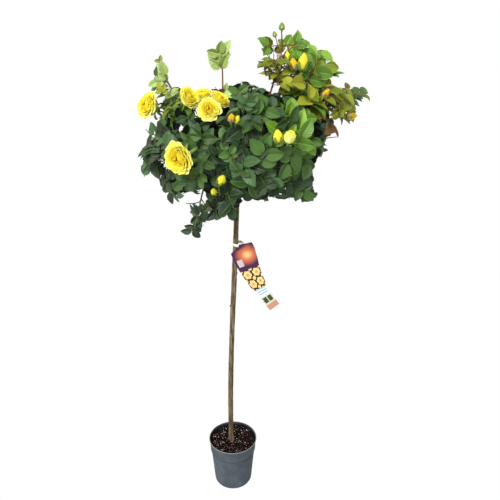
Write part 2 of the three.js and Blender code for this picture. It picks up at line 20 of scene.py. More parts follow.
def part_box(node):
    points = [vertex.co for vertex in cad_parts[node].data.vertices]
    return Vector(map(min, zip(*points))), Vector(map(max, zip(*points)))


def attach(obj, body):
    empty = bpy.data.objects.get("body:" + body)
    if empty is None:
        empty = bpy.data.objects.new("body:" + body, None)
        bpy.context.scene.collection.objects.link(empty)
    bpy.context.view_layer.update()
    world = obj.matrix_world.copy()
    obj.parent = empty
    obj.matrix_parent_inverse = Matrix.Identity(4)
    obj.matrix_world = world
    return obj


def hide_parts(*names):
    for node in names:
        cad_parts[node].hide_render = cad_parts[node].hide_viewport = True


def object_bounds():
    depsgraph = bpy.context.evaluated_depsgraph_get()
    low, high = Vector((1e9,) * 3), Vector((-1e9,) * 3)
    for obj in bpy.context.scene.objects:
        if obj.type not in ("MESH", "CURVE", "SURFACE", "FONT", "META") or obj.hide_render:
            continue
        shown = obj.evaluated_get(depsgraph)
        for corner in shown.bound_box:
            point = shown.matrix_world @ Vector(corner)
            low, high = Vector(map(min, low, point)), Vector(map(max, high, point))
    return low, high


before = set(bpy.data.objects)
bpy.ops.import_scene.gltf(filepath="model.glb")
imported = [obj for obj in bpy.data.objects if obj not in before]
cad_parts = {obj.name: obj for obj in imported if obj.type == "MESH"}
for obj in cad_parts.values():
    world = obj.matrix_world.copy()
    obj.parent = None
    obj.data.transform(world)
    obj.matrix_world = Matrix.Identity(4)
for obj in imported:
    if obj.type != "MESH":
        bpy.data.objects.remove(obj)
CAD_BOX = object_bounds()

log = logging.getLogger("rose")

BODY = "root"
BLADE_MAP = "blade"
FULL_TURN = 2 * math.pi
GOLDEN_TURN = 2.39996
UP = np.array([0.0, 0.0, 1.0])
FORWARD = np.array([0.0, -1.0, 0.0])

Colour = tuple[float, float, float, float]
Point = tuple[float, float, float]
Pair = tuple[float, float]
Array = np.ndarray
Piece = bpy.types.Object


def paint(red: int, green: int, blue: int) -> Colour:
    """A colour from the 0 to 255 values of a paint chart.

    Args:
        red: Its red value.
        green: Its green value.
        blue: Its blue value.

    Returns:
        The colour in linear light, opaque.
    """
    shares = [value / 255 for value in (red, green, blue)]
    linear = [s / 12.92 if s <= 0.04045 else ((s + 0.055) / 1.055) ** 2.4 for s in shares]
    return (*linear, 1.0)


# Shader maths


class Sock:
    """A node's output socket, with arithmetic that adds Math nodes."""

    def __init__(self, graph: Graph, socket: bpy.types.NodeSocket) -> None:
        """Keeps the graph that the socket belongs to."""
        self.graph = graph
        self.socket = socket

    def _math(self, operation: str, first: Value, second: Value) -> Sock:
        """A Math node on two values."""
        return self.graph.add("ShaderNodeMath", {"operation": operation}, {0: first, 1: second})

    def __add__(self, other: Value) -> Sock:
        """The sum."""
        return self._math("ADD", self, other)

    __radd__ = __add__

    def __sub__(self, other: Value) -> Sock:
        """The difference."""
        return self._math("SUBTRACT", self, other)

    def __rsub__(self, other: Value) -> Sock:
        """The difference the other way round."""
        return self._math("SUBTRACT", other, self)

    def __mul__(self, other: Value) -> Sock:
        """The product."""
        return self._math("MULTIPLY", self, other)

    __rmul__ = __mul__

    def __gt__(self, other: Value) -> Sock:
        """One where this is the greater, and nothing elsewhere."""
        return self._math("GREATER_THAN", self, other)

    def __lt__(self, other: Value) -> Sock:
        """One where this is the smaller, and nothing elsewhere."""
        return self._math("LESS_THAN", self, other)

    def __pow__(self, other: Value) -> Sock:
        """The power."""
        return self._math("POWER", self, other)

    def __abs__(self) -> Sock:
        """The size without its sign."""
        return self._math("ABSOLUTE", self, 0.0)

    def wave(self) -> Sock:
        """The sine."""
        return self._math("SINE", self, 0.0)

    def fraction(self) -> Sock:
        """What is left after the whole number."""
        return self._math("FRACT", self, 0.0)

    def angle(self, other: Sock) -> Sock:
        """The angle of the point that lies this far one way and the other's value the other way."""
        return self._math("ARCTAN2", self, other)

    def ramp(self, low: float, high: float) -> Sock:
        """Rises smoothly from 0 at the low value to 1 at the high one."""
        limits = {"Value": self, "From Min": low, "From Max": high}
        return self.graph.add("ShaderNodeMapRange", {"interpolation_type": "SMOOTHSTEP"}, limits)


Value = Sock | float


class Graph:
    """The node tree of one material."""

    MIX_SHARE, MIX_FIRST, MIX_SECOND, MIX_OUTPUT = 0, 6, 7, 2

    def __init__(self, name: str) -> None:
        """Makes the material, with an empty tree.

        Args:
            name: The material's name.
        """
        self.material = bpy.data.materials.new(name)
        self.material.use_nodes = True
        self.tree = self.material.node_tree
        self.tree.nodes.clear()

    def add(
        self, kind: str, settings: dict | None = None, inputs: dict | None = None, output: int | str = 0
    ) -> Sock:
        """Adds a node.

        Args:
            kind: The node's type.
            settings: Its own settings, which are set first.
            inputs: The value or the link of each socket that isn't left as it is.
            output: Which of its outputs is wanted.

        Returns:
            That output.
        """
        node = self.tree.nodes.new(kind)
        for key, value in (settings or {}).items():
            setattr(node, key, value)
        for key, value in (inputs or {}).items():
            if isinstance(value, Sock):
                self.tree.links.new(value.socket, node.inputs[key])
            else:
                node.inputs[key].default_value = value
        return Sock(self, node.outputs[output])

    def place(self, stretch: Point = (1.0, 1.0, 1.0)) -> Sock:
        """Object coordinates, stretched along each axis."""
        place = self.add("ShaderNodeTexCoord", output="Object")
        return self.add("ShaderNodeMapping", inputs={"Vector": place, "Scale": stretch})

    def axes(self, vector: Sock) -> tuple[Sock, Sock, Sock]:
        """The three parts of a vector.

        Args:
            vector: The vector.

        Returns:
            Its X, Y and Z.
        """
        split = self.add("ShaderNodeSeparateXYZ", inputs={0: vector})
        outputs = split.socket.node.outputs
        return tuple(Sock(self, outputs[axis]) for axis in range(3))

    def cloud(self, scale: float, detail: float = 4.0, place: Sock | None = None) -> Sock:
        """Soft noise from 0 to 1."""
        inputs = {"Vector": place or self.place(), "Scale": scale, "Detail": detail}
        return self.add("ShaderNodeTexNoise", inputs=inputs)

    def cells(self, scale: float, place: Sock | None = None) -> Sock:
        """The distance to the nearest of scattered points."""
        return self.add("ShaderNodeTexVoronoi", inputs={"Vector": place or self.place(), "Scale": scale})

    def mix(self, share: Value, first: Sock | Colour, second: Sock | Colour) -> Sock:
        """The first colour where the share is 0, and the second where it is 1."""
        inputs = {self.MIX_SHARE: share, self.MIX_FIRST: first, self.MIX_SECOND: second}
        return self.add("ShaderNodeMix", {"data_type": "RGBA"}, inputs, self.MIX_OUTPUT)

    def bump(self, height: Sock, depth: float) -> Sock:
        """A normal from a height map."""
        return self.add("ShaderNodeBump", inputs={"Height": height, "Distance": depth}, output="Normal")

    def surface(self, inputs: dict) -> bpy.types.Material:
        """Ends the tree in a Principled surface.

        Args:
            inputs: The value or the link of each of its sockets.

        Returns:
            The finished material.
        """
        shader = self.add("ShaderNodeBsdfPrincipled", inputs=inputs)
        self.add_output(shader)
        return self.material

    def add_output(self, shader: Sock) -> None:
        """Joins a shader to the material's output."""
        end = self.tree.nodes.new("ShaderNodeOutputMaterial")
        self.tree.links.new(shader.socket, end.inputs["Surface"])


# Finishes


@dataclass(frozen=True)
class Finish:
    """A surface with soft patches between two colours and a fine grain."""

    name: str
    dark: Colour
    light: Colour
    roughness: float = 0.5
    patches: float = 60.0
    grain: float = 900.0
    depth: float = 0.0002
    stretch: Point = (1.0, 1.0, 1.0)
    sheen: float = 0.22
    unevenness: float = 0.16

    def colour(self, graph: Graph) -> Sock | Colour:
        """The colour over the surface."""
        share = graph.cloud(self.patches, 3, graph.place(self.stretch)).ramp(0.35, 0.68)
        return graph.mix(share, self.dark, self.light)

    def height(self, graph: Graph) -> Sock:
        """The fine relief over the surface."""
        return graph.cloud(self.grain, 3, graph.place(self.stretch))

    def gloss(self, graph: Graph) -> Value:
        """The roughness over the surface."""
        return graph.cloud(self.patches * 3, 2) * self.unevenness + (self.roughness - self.unevenness / 2)

    def extras(self) -> dict:
        """Sockets with one value all over."""
        return {"Specular IOR Level": self.sheen}

    def material(self) -> bpy.types.Material:
        """The material, with its nodes, which is made only once.

        Returns:
            The material.
        """
        if self.name in bpy.data.materials:
            return bpy.data.materials[self.name]
        graph = Graph(self.name)
        inputs = {
            "Base Color": self.colour(graph),
            "Roughness": self.gloss(graph),
            "Normal": graph.bump(self.height(graph), self.depth),
        }
        return graph.surface(inputs | self.extras())


@dataclass(frozen=True)
class PlainFinish(Finish):
    """A surface of one colour, its dark one, whose roughness and relief vary."""

    light: Colour = (0.0, 0.0, 0.0, 1.0)

    def colour(self, graph: Graph) -> Colour:
        """The one colour."""
        return self.dark


@dataclass(frozen=True)
class LeafFinish(PlainFinish):
    """A live leaf: waxy, with a quilted skin between its small veins."""

    roughness: float = 0.40
    patches: float = 34.0
    quilts: float = 420.0
    depth: float = 0.00045
    veins: int = 7
    slant: float = 0.3
    vein_rise: float = 0.5
    quilt_rise: float = 0.6

    def height(self, graph: Graph) -> Sock:
        """Side veins that slant up from the midrib, with swellings between them.

        Args:
            graph: The material's tree.

        Returns:
            The height.
        """
        side, up, _ = graph.axes(graph.add("ShaderNodeUVMap", {"uv_map": BLADE_MAP}))
        slanted = up - abs(side - 0.5) * (2 * self.slant)
        veins = (slanted * (FULL_TURN * self.veins)).wave()
        return veins * self.vein_rise + graph.cells(self.quilts) * self.quilt_rise


@dataclass(frozen=True)
class PetalFinish(PlainFinish):
    """A petal: soft, silky and a little translucent."""

    roughness: float = 0.55
    patches: float = 90.0
    depth: float = 0.0001
    sheen: float = 0.15
    glow: float = 0.45
    glow_reach: Point = (0.006, 0.005, 0.001)

    def extras(self) -> dict:
        """A petal's inner glow.

        Returns:
            The sockets and their values.
        """
        return super().extras() | {
            "Subsurface Weight": self.glow,
            "Subsurface Radius": self.glow_reach,
            "Subsurface Scale": 1.0,
        }


@dataclass(frozen=True)
class PotFinish(Finish):
    """Moulded plastic, chalky with lime near its foot and worn paler at its lip.

    Top, rim, taper, wall, bowl and collar say where the lip, the wall's inside and the collar's foot lie.
    The shares say how much of its own colour each kind of wear and dirt shows, and how dark the painted
    shade is under the collar and on the soil-stained inside.
    """

    lip: Colour = paint(150, 150, 150)
    lime: Colour = paint(122, 127, 130)
    # Near black: the painted shade under the collar, and the soil stain with painted shade on the inside.
    shade_and_stain: Colour = paint(26, 26, 27)
    top: float = 0.181
    rim: float = 0.085
    taper: float = 0.105
    wall: float = 0.0020
    bowl: float = 0.14
    collar: float = 0.136
    lime_share: float = 0.3
    scuff_share: float = 0.10
    lip_share: float = 0.45
    # Painted shade: how dark the band under the collar is, and how dark the inside is with its soil stain.
    collar_shade_share: float = 0.5
    inside_shade_and_stain_share: float = 0.95
    sheen: float = 0.1

    def colour(self, graph: Graph) -> Sock:
        """Mottled plastic with its lime and its worn lip, painted shade under its collar, and its inside
        darkened by soil stain and painted shade.

        Args:
            graph: The material's tree.

        Returns:
            The colour.
        """
        x, y, up = graph.axes(graph.place())
        plain = super().colour(graph)
        smears = graph.cloud(38.0, 6, graph.place((1, 1, 0.3))).ramp(0.52, 0.75)
        foot = 1 - up.ramp(0.0, 0.07)
        limed = graph.mix(smears * foot * self.lime_share, plain, self.lime)
        scuffs = graph.cloud(240.0, 3, graph.place((1, 1, 6))).ramp(0.6, 0.72) * self.scuff_share
        scuffed = graph.mix(scuffs, limed, self.lime)
        worn = up.ramp(self.top - 0.003, self.top - 0.0008) * self.lip_share
        lipped = graph.mix(worn, scuffed, self.lip)
        # Painted shade: a dark band just under the collar, where its overhang would cast shade.
        crease = up.ramp(self.collar - 0.0075, self.collar - 0.0050)
        crease = crease * (1 - up.ramp(self.collar - 0.0030, self.collar - 0.0010))
        collar_shaded = graph.mix(crease * self.collar_shade_share, lipped, self.shade_and_stain)
        # The inner wall: soil stain with painted shade, made lighter towards the top by the lip's share.
        depth = self.rim - (self.top - up) * self.taper - (x * x + y * y) ** 0.5
        inside = (depth > self.wall) * (up > self.bowl)
        shaded_inside = self.inside_shade_and_stain_share - up.ramp(self.top - 0.010, self.top - 0.001) * self.lip_share
        return graph.mix(inside * shaded_inside, collar_shaded, self.shade_and_stain)


@dataclass(frozen=True)
class BarkFinish(Finish):
    """Grey-brown bark with long streaks and pale dashes, greener on the young canes above the graft.

    The shares say how much of their own colour lichen and dashes show, and low shade how dark the foot is.
    """

    green_dark: Colour = paint(66, 62, 34)
    green_light: Colour = paint(112, 104, 60)
    lichen: Colour = paint(116, 112, 82)
    dash: Colour = paint(158, 146, 118)
    lichen_share: float = 0.55
    dash_share: float = 0.6
    low_shade: float = 0.42
    graft: float = 1.12
    depth: float = 0.0006

    def colour(self, graph: Graph) -> Sock:
        """Streaked and dashed bark.

        Args:
            graph: The material's tree.

        Returns:
            The colour.
        """
        _, _, up = graph.axes(graph.place())
        streaks = graph.cloud(150.0, 5, graph.place((1, 1, 0.12))).ramp(0.36, 0.66)
        old = graph.mix(streaks, self.dark, self.light)
        moss = graph.cloud(26.0, 4).ramp(0.5, 0.7) * self.lichen_share
        old = graph.mix(moss, old, self.lichen)
        dashes = graph.cloud(330.0, 2, graph.place((0.5, 0.5, 2.2))).ramp(0.66, 0.74) * self.dash_share
        old = graph.mix(dashes, old, self.dash)
        old = graph.mix(self.low_shade - up.ramp(0.15, 0.75) * self.low_shade, old, self.dark)
        young = graph.mix(streaks, self.green_dark, self.green_light)
        return graph.mix(up.ramp(self.graft - 0.01, self.graft + 0.05), old, young)

    def height(self, graph: Graph) -> Sock:
        """Long fissures and fine grain."""
        fissures = graph.cloud(330.0, 5, graph.place((1, 1, 0.18)))
        return fissures + graph.cloud(1400.0, 2) * 0.4


@dataclass(frozen=True)
class LabelFinish(PlainFinish):
    """A printed label: an evening glow, rosettes, a pale ruled band over two squares, and a plain end.

    Evening, garden and bands say how far down the glow, the rosettes and the band with its squares reach.
    The dark colour is that of the end.
    """

    roughness: float = 0.35
    evening: float = 0.36
    garden: float = 0.67
    bands: float = 0.92
    rules: float = 170.0
    sun: Colour = paint(228, 184, 118)
    glow: Colour = paint(196, 104, 74)
    dusk: Colour = paint(66, 34, 64)
    patch: Colour = paint(186, 174, 178)
    bed: tuple[Colour, Colour] = (paint(36, 28, 32), paint(50, 56, 38))
    petal: tuple[Colour, Colour] = (paint(228, 184, 104), paint(216, 196, 146))
    heart: Colour = paint(204, 132, 58)
    band: Colour = paint(206, 216, 220)
    rule: Colour = paint(140, 172, 192)
    cream: Colour = paint(196, 190, 168)
    square: Colour = paint(52, 70, 46)

    def colour(self, graph: Graph) -> Sock:
        """The print, by the label's own UV map: U across it and V up from its end.

        Args:
            graph: The material's tree.

        Returns:
            The colour.
        """
        across, up, _ = graph.axes(graph.add("ShaderNodeUVMap", {"uv_map": "UVMap"}))
        down = 1 - up
        made = self._glow(graph, across, down)
        made = graph.mix(down > self.evening, made, self._rosettes(graph, across, down))
        made = graph.mix(down > self.garden, made, self._band(graph, across, down))
        return graph.mix(down > self.bands, made, self.dark)

    def _glow(self, graph: Graph, across: Sock, down: Sock) -> Sock:
        """A low sun in a dusky sky, with a pale patch.

        Args:
            graph: The material's tree.
            across: How far across the label.
            down: How far down it.

        Returns:
            The colour.
        """
        far = ((across - 0.62) * (across - 0.62) * 0.5 + (down - 0.16) * (down - 0.16) * 6) ** 0.5
        glow = graph.mix(far.ramp(0.02, 0.2), self.sun, self.glow)
        dusk = graph.mix(far.ramp(0.16, 0.42), glow, self.dusk)
        patch = (across > 0.1) * (across < 0.34) * (down > 0.2) * (down < 0.3)
        return graph.mix(patch, dusk, self.patch)

    def _rosettes(self, graph: Graph, across: Sock, down: Sock) -> Sock:
        """Staggered rosettes of two sizes on a dark bed.

        Args:
            graph: The material's tree.
            across: How far across the label.
            down: How far down it.

        Returns:
            The colour.
        """
        rows = (down - self.evening) * 7.0
        columns = across * 2.0
        small = self._spots(columns + 0.5, rows + 0.5, 0.2)
        blossom = self._spots(columns, rows, 0.43) + small
        bed = graph.mix(graph.cloud(900.0, 3).ramp(0.45, 0.6), *self.bed)
        petal = graph.mix(graph.cloud(420.0, 2).ramp(0.4, 0.62), *self.petal)
        return graph.mix(self._spots(columns, rows, 0.14), graph.mix(blossom, bed, petal), self.heart)

    def _band(self, graph: Graph, across: Sock, down: Sock) -> Sock:
        """A pale band with plain rules, and two squares on cream under it.

        Args:
            graph: The material's tree.
            across: How far across the label.
            down: How far down it.

        Returns:
            The colour.
        """
        rules = ((down * self.rules).wave() > 0.1) * (across > 0.14) * (across < 0.86) * (down < 0.78)
        ruled = graph.mix(down > 0.79, graph.mix(rules, self.band, self.rule), self.cream)
        aside = abs(across - 0.5)
        squares = (down > 0.81) * (down < 0.895) * (aside < 0.38) * (aside > 0.04)
        return graph.mix(squares, ruled, self.square)

    def _spots(self, columns: Sock, rows: Sock, radius: float) -> Sock:
        """Lobed spots, one in each square of a grid.

        Args:
            columns: How many columns across.
            rows: How many rows down.
            radius: A spot's radius, in squares.

        Returns:
            One on a spot, and nothing elsewhere.
        """
        x = columns.fraction() - 0.5
        y = rows.fraction() - 0.5
        lobes = (x.angle(y) * 6).wave() * 0.16 + 0.92
        return (x * x + y * y) < lobes * radius * radius

    def gloss(self, graph: Graph) -> Value:
        """An even satin."""
        return self.roughness


PLASTIC = PotFinish("pot_plastic", paint(67, 73, 80), paint(76, 83, 90), 0.55, 30.0, 2600.0, 0.00008)
WHITE_STRAP = Finish("strap_plastic", paint(214, 210, 190), paint(228, 226, 206), 0.4)
PRINT = LabelFinish("label_print", paint(180, 130, 104))
EARTH = Finish("compost", paint(8, 4, 4), paint(25, 14, 12), 0.95, 420.0, 900.0, 0.0014, sheen=0.05)
CHIPS = (
    PlainFinish("chip_dark", paint(14, 8, 7), roughness=0.9, sheen=0.05),
    PlainFinish("chip_brown", paint(50, 28, 22), roughness=0.85, sheen=0.1),
    PlainFinish("chip_grey", paint(118, 98, 90), roughness=0.85),
    PlainFinish("chip_pale", paint(206, 182, 150), roughness=0.8),
    PlainFinish("grit_white", paint(240, 236, 228), roughness=0.8),
)
BARK = BarkFinish("rose_bark", paint(62, 47, 31), paint(128, 109, 83), 0.8)


class Tone(Enum):
    """The tones that a spray of leaves can have.

    Each has five paints: three for the upper sides of its leaves, one for their midribs and pale edges,
    whose paleness at the edge is a painted highlight, and one for their undersides. The first two tones, the
    darkest,
    are painted shade: one for the leaves in the crown's core, the other for the low and hanging masses.
    """

    SHADED = ((13, 23, 9), (19, 31, 12), (10, 17, 7), (24, 38, 16), (24, 36, 18))
    DARK = ((36, 50, 22), (50, 66, 30), (23, 36, 14), (48, 66, 36), (66, 82, 50))
    DEEP = ((40, 66, 34), (62, 94, 52), (28, 48, 21), (70, 96, 56), (84, 106, 68))
    MID = ((58, 90, 32), (70, 104, 40), (47, 76, 28), (82, 108, 54), (98, 122, 74))
    FRESH = ((98, 138, 34), (120, 162, 46), (80, 118, 28), (124, 160, 70), (128, 158, 84))
    OLIVE = ((116, 130, 18), (146, 152, 34), (90, 106, 12), (142, 146, 70), (134, 142, 80))
    RUSSET = ((112, 84, 40), (128, 104, 52), (96, 66, 34), (136, 96, 60), (126, 104, 74))
    PALE = ((144, 165, 88), (160, 182, 104), (126, 148, 72), (184, 204, 130), (176, 194, 124))


LEAF_SHEEN = 0.34
DULLER_SHEENS = {Tone.SHADED: 0.05, Tone.OLIVE: 0.2}
UPPER_SIDES = 3
UNDER_SLOT = 3
RIB_AND_EDGE_SLOT = 4
LEAF_SLOTS = 5


def leaf_finishes(tone: Tone) -> list[LeafFinish]:
    """The finishes of one tone: three upper sides, the underside, and the midrib, whose paint also gives the
    edges their painted highlight.

    Args:
        tone: The tone.

    Returns:
        The five finishes.
    """
    name = f"leaf_{tone.name.lower()}"
    sheen = DULLER_SHEENS.get(tone, LEAF_SHEEN)
    *uppers, rib_and_edge, under = (paint(*shade) for shade in tone.value)
    finishes = [LeafFinish(f"{name}_{i}", upper, sheen=sheen) for i, upper in enumerate(uppers)]
    finishes.append(LeafFinish(f"{name}_under", under, roughness=0.6, sheen=sheen))
    finishes.append(LeafFinish(f"{name}_rib", rib_and_edge, roughness=0.5, sheen=sheen))
    return finishes


SHOOT_GREEN = PlainFinish("shoot_green", paint(84, 98, 44), roughness=0.5)
SHOOT_RED = PlainFinish("shoot_red", paint(112, 66, 44), roughness=0.5)
STALK_GREEN = PlainFinish("stalk_green", paint(106, 128, 60), roughness=0.5)
STALK_RED = PlainFinish("stalk_red", paint(138, 84, 56), roughness=0.5)
PRICKLE = PlainFinish("prickle", paint(134, 74, 50), roughness=0.45)
SEPAL = PlainFinish("sepal", paint(108, 138, 62), roughness=0.55)


class PetalTone(IntEnum):
    """The tones of petals, as material slots: from pale to deep yellow, and then coral."""

    CREAM = 0
    LEMON = 1
    YELLOW = 2
    DEEP = 3
    GOLD = 4
    AMBER = 5
    CORAL = 6


PETAL_PAINTS = {
    PetalTone.CREAM: (255, 246, 128),
    PetalTone.LEMON: (255, 241, 84),
    PetalTone.YELLOW: (254, 233, 58),
    PetalTone.DEEP: (252, 219, 40),
    PetalTone.GOLD: (246, 192, 30),
    PetalTone.AMBER: (228, 150, 34),
    PetalTone.CORAL: (234, 150, 104),
}
PETALS = [PetalFinish(f"petal_{tone.name.lower()}", paint(*shade)) for tone, shade in PETAL_PAINTS.items()]


# Shapes


class Shape(NamedTuple):
    """Points with the faces between them."""

    points: Array
    quads: Array
    triangles: Array


NO_TRIANGLES = np.zeros((0, 3), int)


def grid_quads(rows: int, columns: int, round_shape: bool = False) -> Array:
    """Quads over a grid of points.

    Args:
        rows: How many rows of points it has.
        columns: How many points each row has.
        round_shape: Whether the last point of a row is joined to its first.

    Returns:
        Four point numbers for each quad.
    """
    spans = columns if round_shape else columns - 1
    row, column = np.meshgrid(np.arange(rows - 1), np.arange(spans), indexing="ij")
    first = row * columns + column
    second = row * columns + (column + 1) % columns
    return np.stack([first, second, second + columns, first + columns], axis=-1).reshape(-1, 4)


def unit(vectors: Array) -> Array:
    """Vectors made one long."""
    return vectors / np.maximum(np.linalg.norm(vectors, axis=-1, keepdims=True), 1e-12)


def mixed(*parts: tuple[Array, float]) -> Array:
    """A weighted sum of directions, made one long."""
    return unit(sum(np.asarray(direction) * weight for direction, weight in parts))


def across(along: Array) -> tuple[Array, Array]:
    """Two directions square to a line's direction, and to each other.

    Args:
        along: The line's direction.

    Returns:
        The two directions.
    """
    reference = np.array([1.0, 0.0, 0.0]) if abs(along[2]) > 0.95 else UP
    side = unit(np.cross(along, reference))
    return side, unit(np.cross(side, along))


def out_from(along: Array, angle: float) -> Array:
    """The direction square to a line, at an angle round it."""
    side, over = across(along)
    return side * math.cos(angle) + over * math.sin(angle)


def level_way(angle: float, up: float = 0.0) -> Array:
    """The direction at an angle round the Z axis, raised by up."""
    return np.array([math.cos(angle), math.sin(angle), up])


def tube(points: Array, radii: Array, sides: int) -> Shape:
    """A closed tube round a line.

    Args:
        points: The line's points.
        radii: The radius at each point, or at each corner of each ring.
        sides: How many sides it has.

    Returns:
        The tube.
    """
    count = len(points)
    along = unit(np.gradient(points, axis=0))
    side = np.zeros_like(points)
    side[0] = across(along[0])[0]
    for i in range(1, count):
        side[i] = unit(side[i - 1] - along[i] * side[i - 1].dot(along[i]))
    over = np.cross(along, side)
    angles = np.arange(sides) * FULL_TURN / sides
    reach = np.broadcast_to(np.asarray(radii, float).reshape(count, -1), (count, sides))[..., None]
    spokes = np.cos(angles)[None, :, None] * side[:, None] + np.sin(angles)[None, :, None] * over[:, None]
    rings = points[:, None] + spokes * reach
    everything = np.concatenate([rings.reshape(-1, 3), points[:1], points[-1:]])
    here = np.arange(sides)
    there = (here + 1) % sides
    last = (count - 1) * sides
    start = np.stack([np.full(sides, count * sides), there, here], axis=1)
    end = np.stack([np.full(sides, count * sides + 1), last + here, last + there], axis=1)
    return Shape(everything, grid_quads(count, sides, True), np.concatenate([start, end]))


def shell(surface: Array, thickness: float) -> Shape:
    """A closed thin plate over a curved grid of points.

    Args:
        surface: Rows of points.
        thickness: How thick the plate is.

    Returns:
        The plate: first the quads of its upper side, then those of its underside, then its rim.
    """
    rows, columns, _ = surface.shape
    normal = unit(np.cross(np.gradient(surface, axis=1), np.gradient(surface, axis=0)))
    upper = (surface + normal * thickness / 2).reshape(-1, 3)
    lower = (surface - normal * thickness / 2).reshape(-1, 3)
    top = grid_quads(rows, columns)
    number = np.arange(rows * columns).reshape(rows, columns)
    edge = np.concatenate([number[0, :-1], number[:-1, -1], number[-1, :0:-1], number[:0:-1, 0]])
    after = np.roll(edge, -1)
    below = rows * columns
    rim = np.stack([after, edge, edge + below, after + below], axis=1)
    quads = np.concatenate([top, top[:, ::-1] + below, rim])
    return Shape(np.concatenate([upper, lower]), quads, NO_TRIANGLES)


def deselect() -> None:
    """Leaves nothing selected."""
    bpy.ops.object.select_all(action="DESELECT")


def added(operator: Callable[..., set], **settings: object) -> Piece:
    """Adds a primitive mesh, with nothing else selected.

    Args:
        operator: The operator that adds it.
        settings: The operator's settings.

    Returns:
        The new object.
    """
    deselect()
    operator(**settings)
    return bpy.context.object


def only(piece: Piece) -> None:
    """Selects one object and nothing else.

    Args:
        piece: The object.
    """
    deselect()
    piece.select_set(True)
    bpy.context.view_layer.objects.active = piece


def finished(piece: Piece, kind: str, **settings: object) -> None:
    """Adds a modifier to an object and applies it.

    Args:
        piece: The object.
        kind: The modifier's type.
        settings: The modifier's settings.
    """
    only(piece)
    modifier = piece.modifiers.new(kind.lower(), kind)
    for key, value in settings.items():
        setattr(modifier, key, value)
    bpy.ops.object.modifier_apply(modifier=modifier.name)


def smooth(piece: Piece, degrees: float) -> None:
    """Shades an object smooth, except at edges sharper than an angle."""
    only(piece)
    bpy.ops.object.shade_smooth_by_angle(angle=math.radians(degrees))


def points_of(piece: Piece) -> Array:
    """The places of an object's vertices.

    Args:
        piece: The object.

    Returns:
        Three numbers for each vertex.
    """
    found = np.zeros(len(piece.data.vertices) * 3)
    piece.data.vertices.foreach_get("co", found)
    return found.reshape(-1, 3)


def move_points(piece: Piece, points: Array) -> None:
    """Gives an object's vertices new places."""
    piece.data.vertices.foreach_set("co", np.ascontiguousarray(points, np.float32).ravel())
    piece.data.update()


def map_points(piece: Piece, marks: Array, name: str) -> None:
    """Gives an object a UV map.

    Args:
        piece: The object.
        marks: The two map values of each vertex.
        name: The map's name.
    """
    corners = np.zeros(len(piece.data.loops), np.int32)
    piece.data.loops.foreach_get("vertex_index", corners)
    layer = piece.data.uv_layers.new(name=name)
    layer.data.foreach_set("uv", np.ascontiguousarray(marks[corners], np.float32).ravel())


def turned(name: str, profile: Sequence[Pair], sides: int) -> Piece:
    """Turns a closed body round the Z axis, by extruding a ring along its profile.

    Args:
        name: The body's name.
        profile: The radius and the height of each ring.
        sides: How many sides it has.

    Returns:
        The body.
    """
    radius, height = profile[0]
    ring = {"vertices": sides, "radius": radius, "location": (0, 0, height)}
    piece = added(bpy.ops.mesh.primitive_circle_add, **ring, fill_type="NGON")
    piece.name = name
    bpy.ops.object.mode_set(mode="EDIT")
    bpy.ops.mesh.select_all(action="SELECT")
    for (radius, height), (next_radius, next_height) in zip(profile, profile[1:]):
        bpy.ops.mesh.extrude_region_move(TRANSFORM_OT_translate={"value": (0, 0, next_height - height)})
        scale = next_radius / radius
        bpy.ops.transform.resize(value=(scale, scale, 1), center_override=(0, 0, next_height))
    bpy.ops.mesh.select_all(action="SELECT")
    bpy.ops.mesh.normals_make_consistent(inside=False)
    bpy.ops.object.mode_set(mode="OBJECT")
    bpy.ops.object.transform_apply(location=True, rotation=True, scale=True)
    return piece


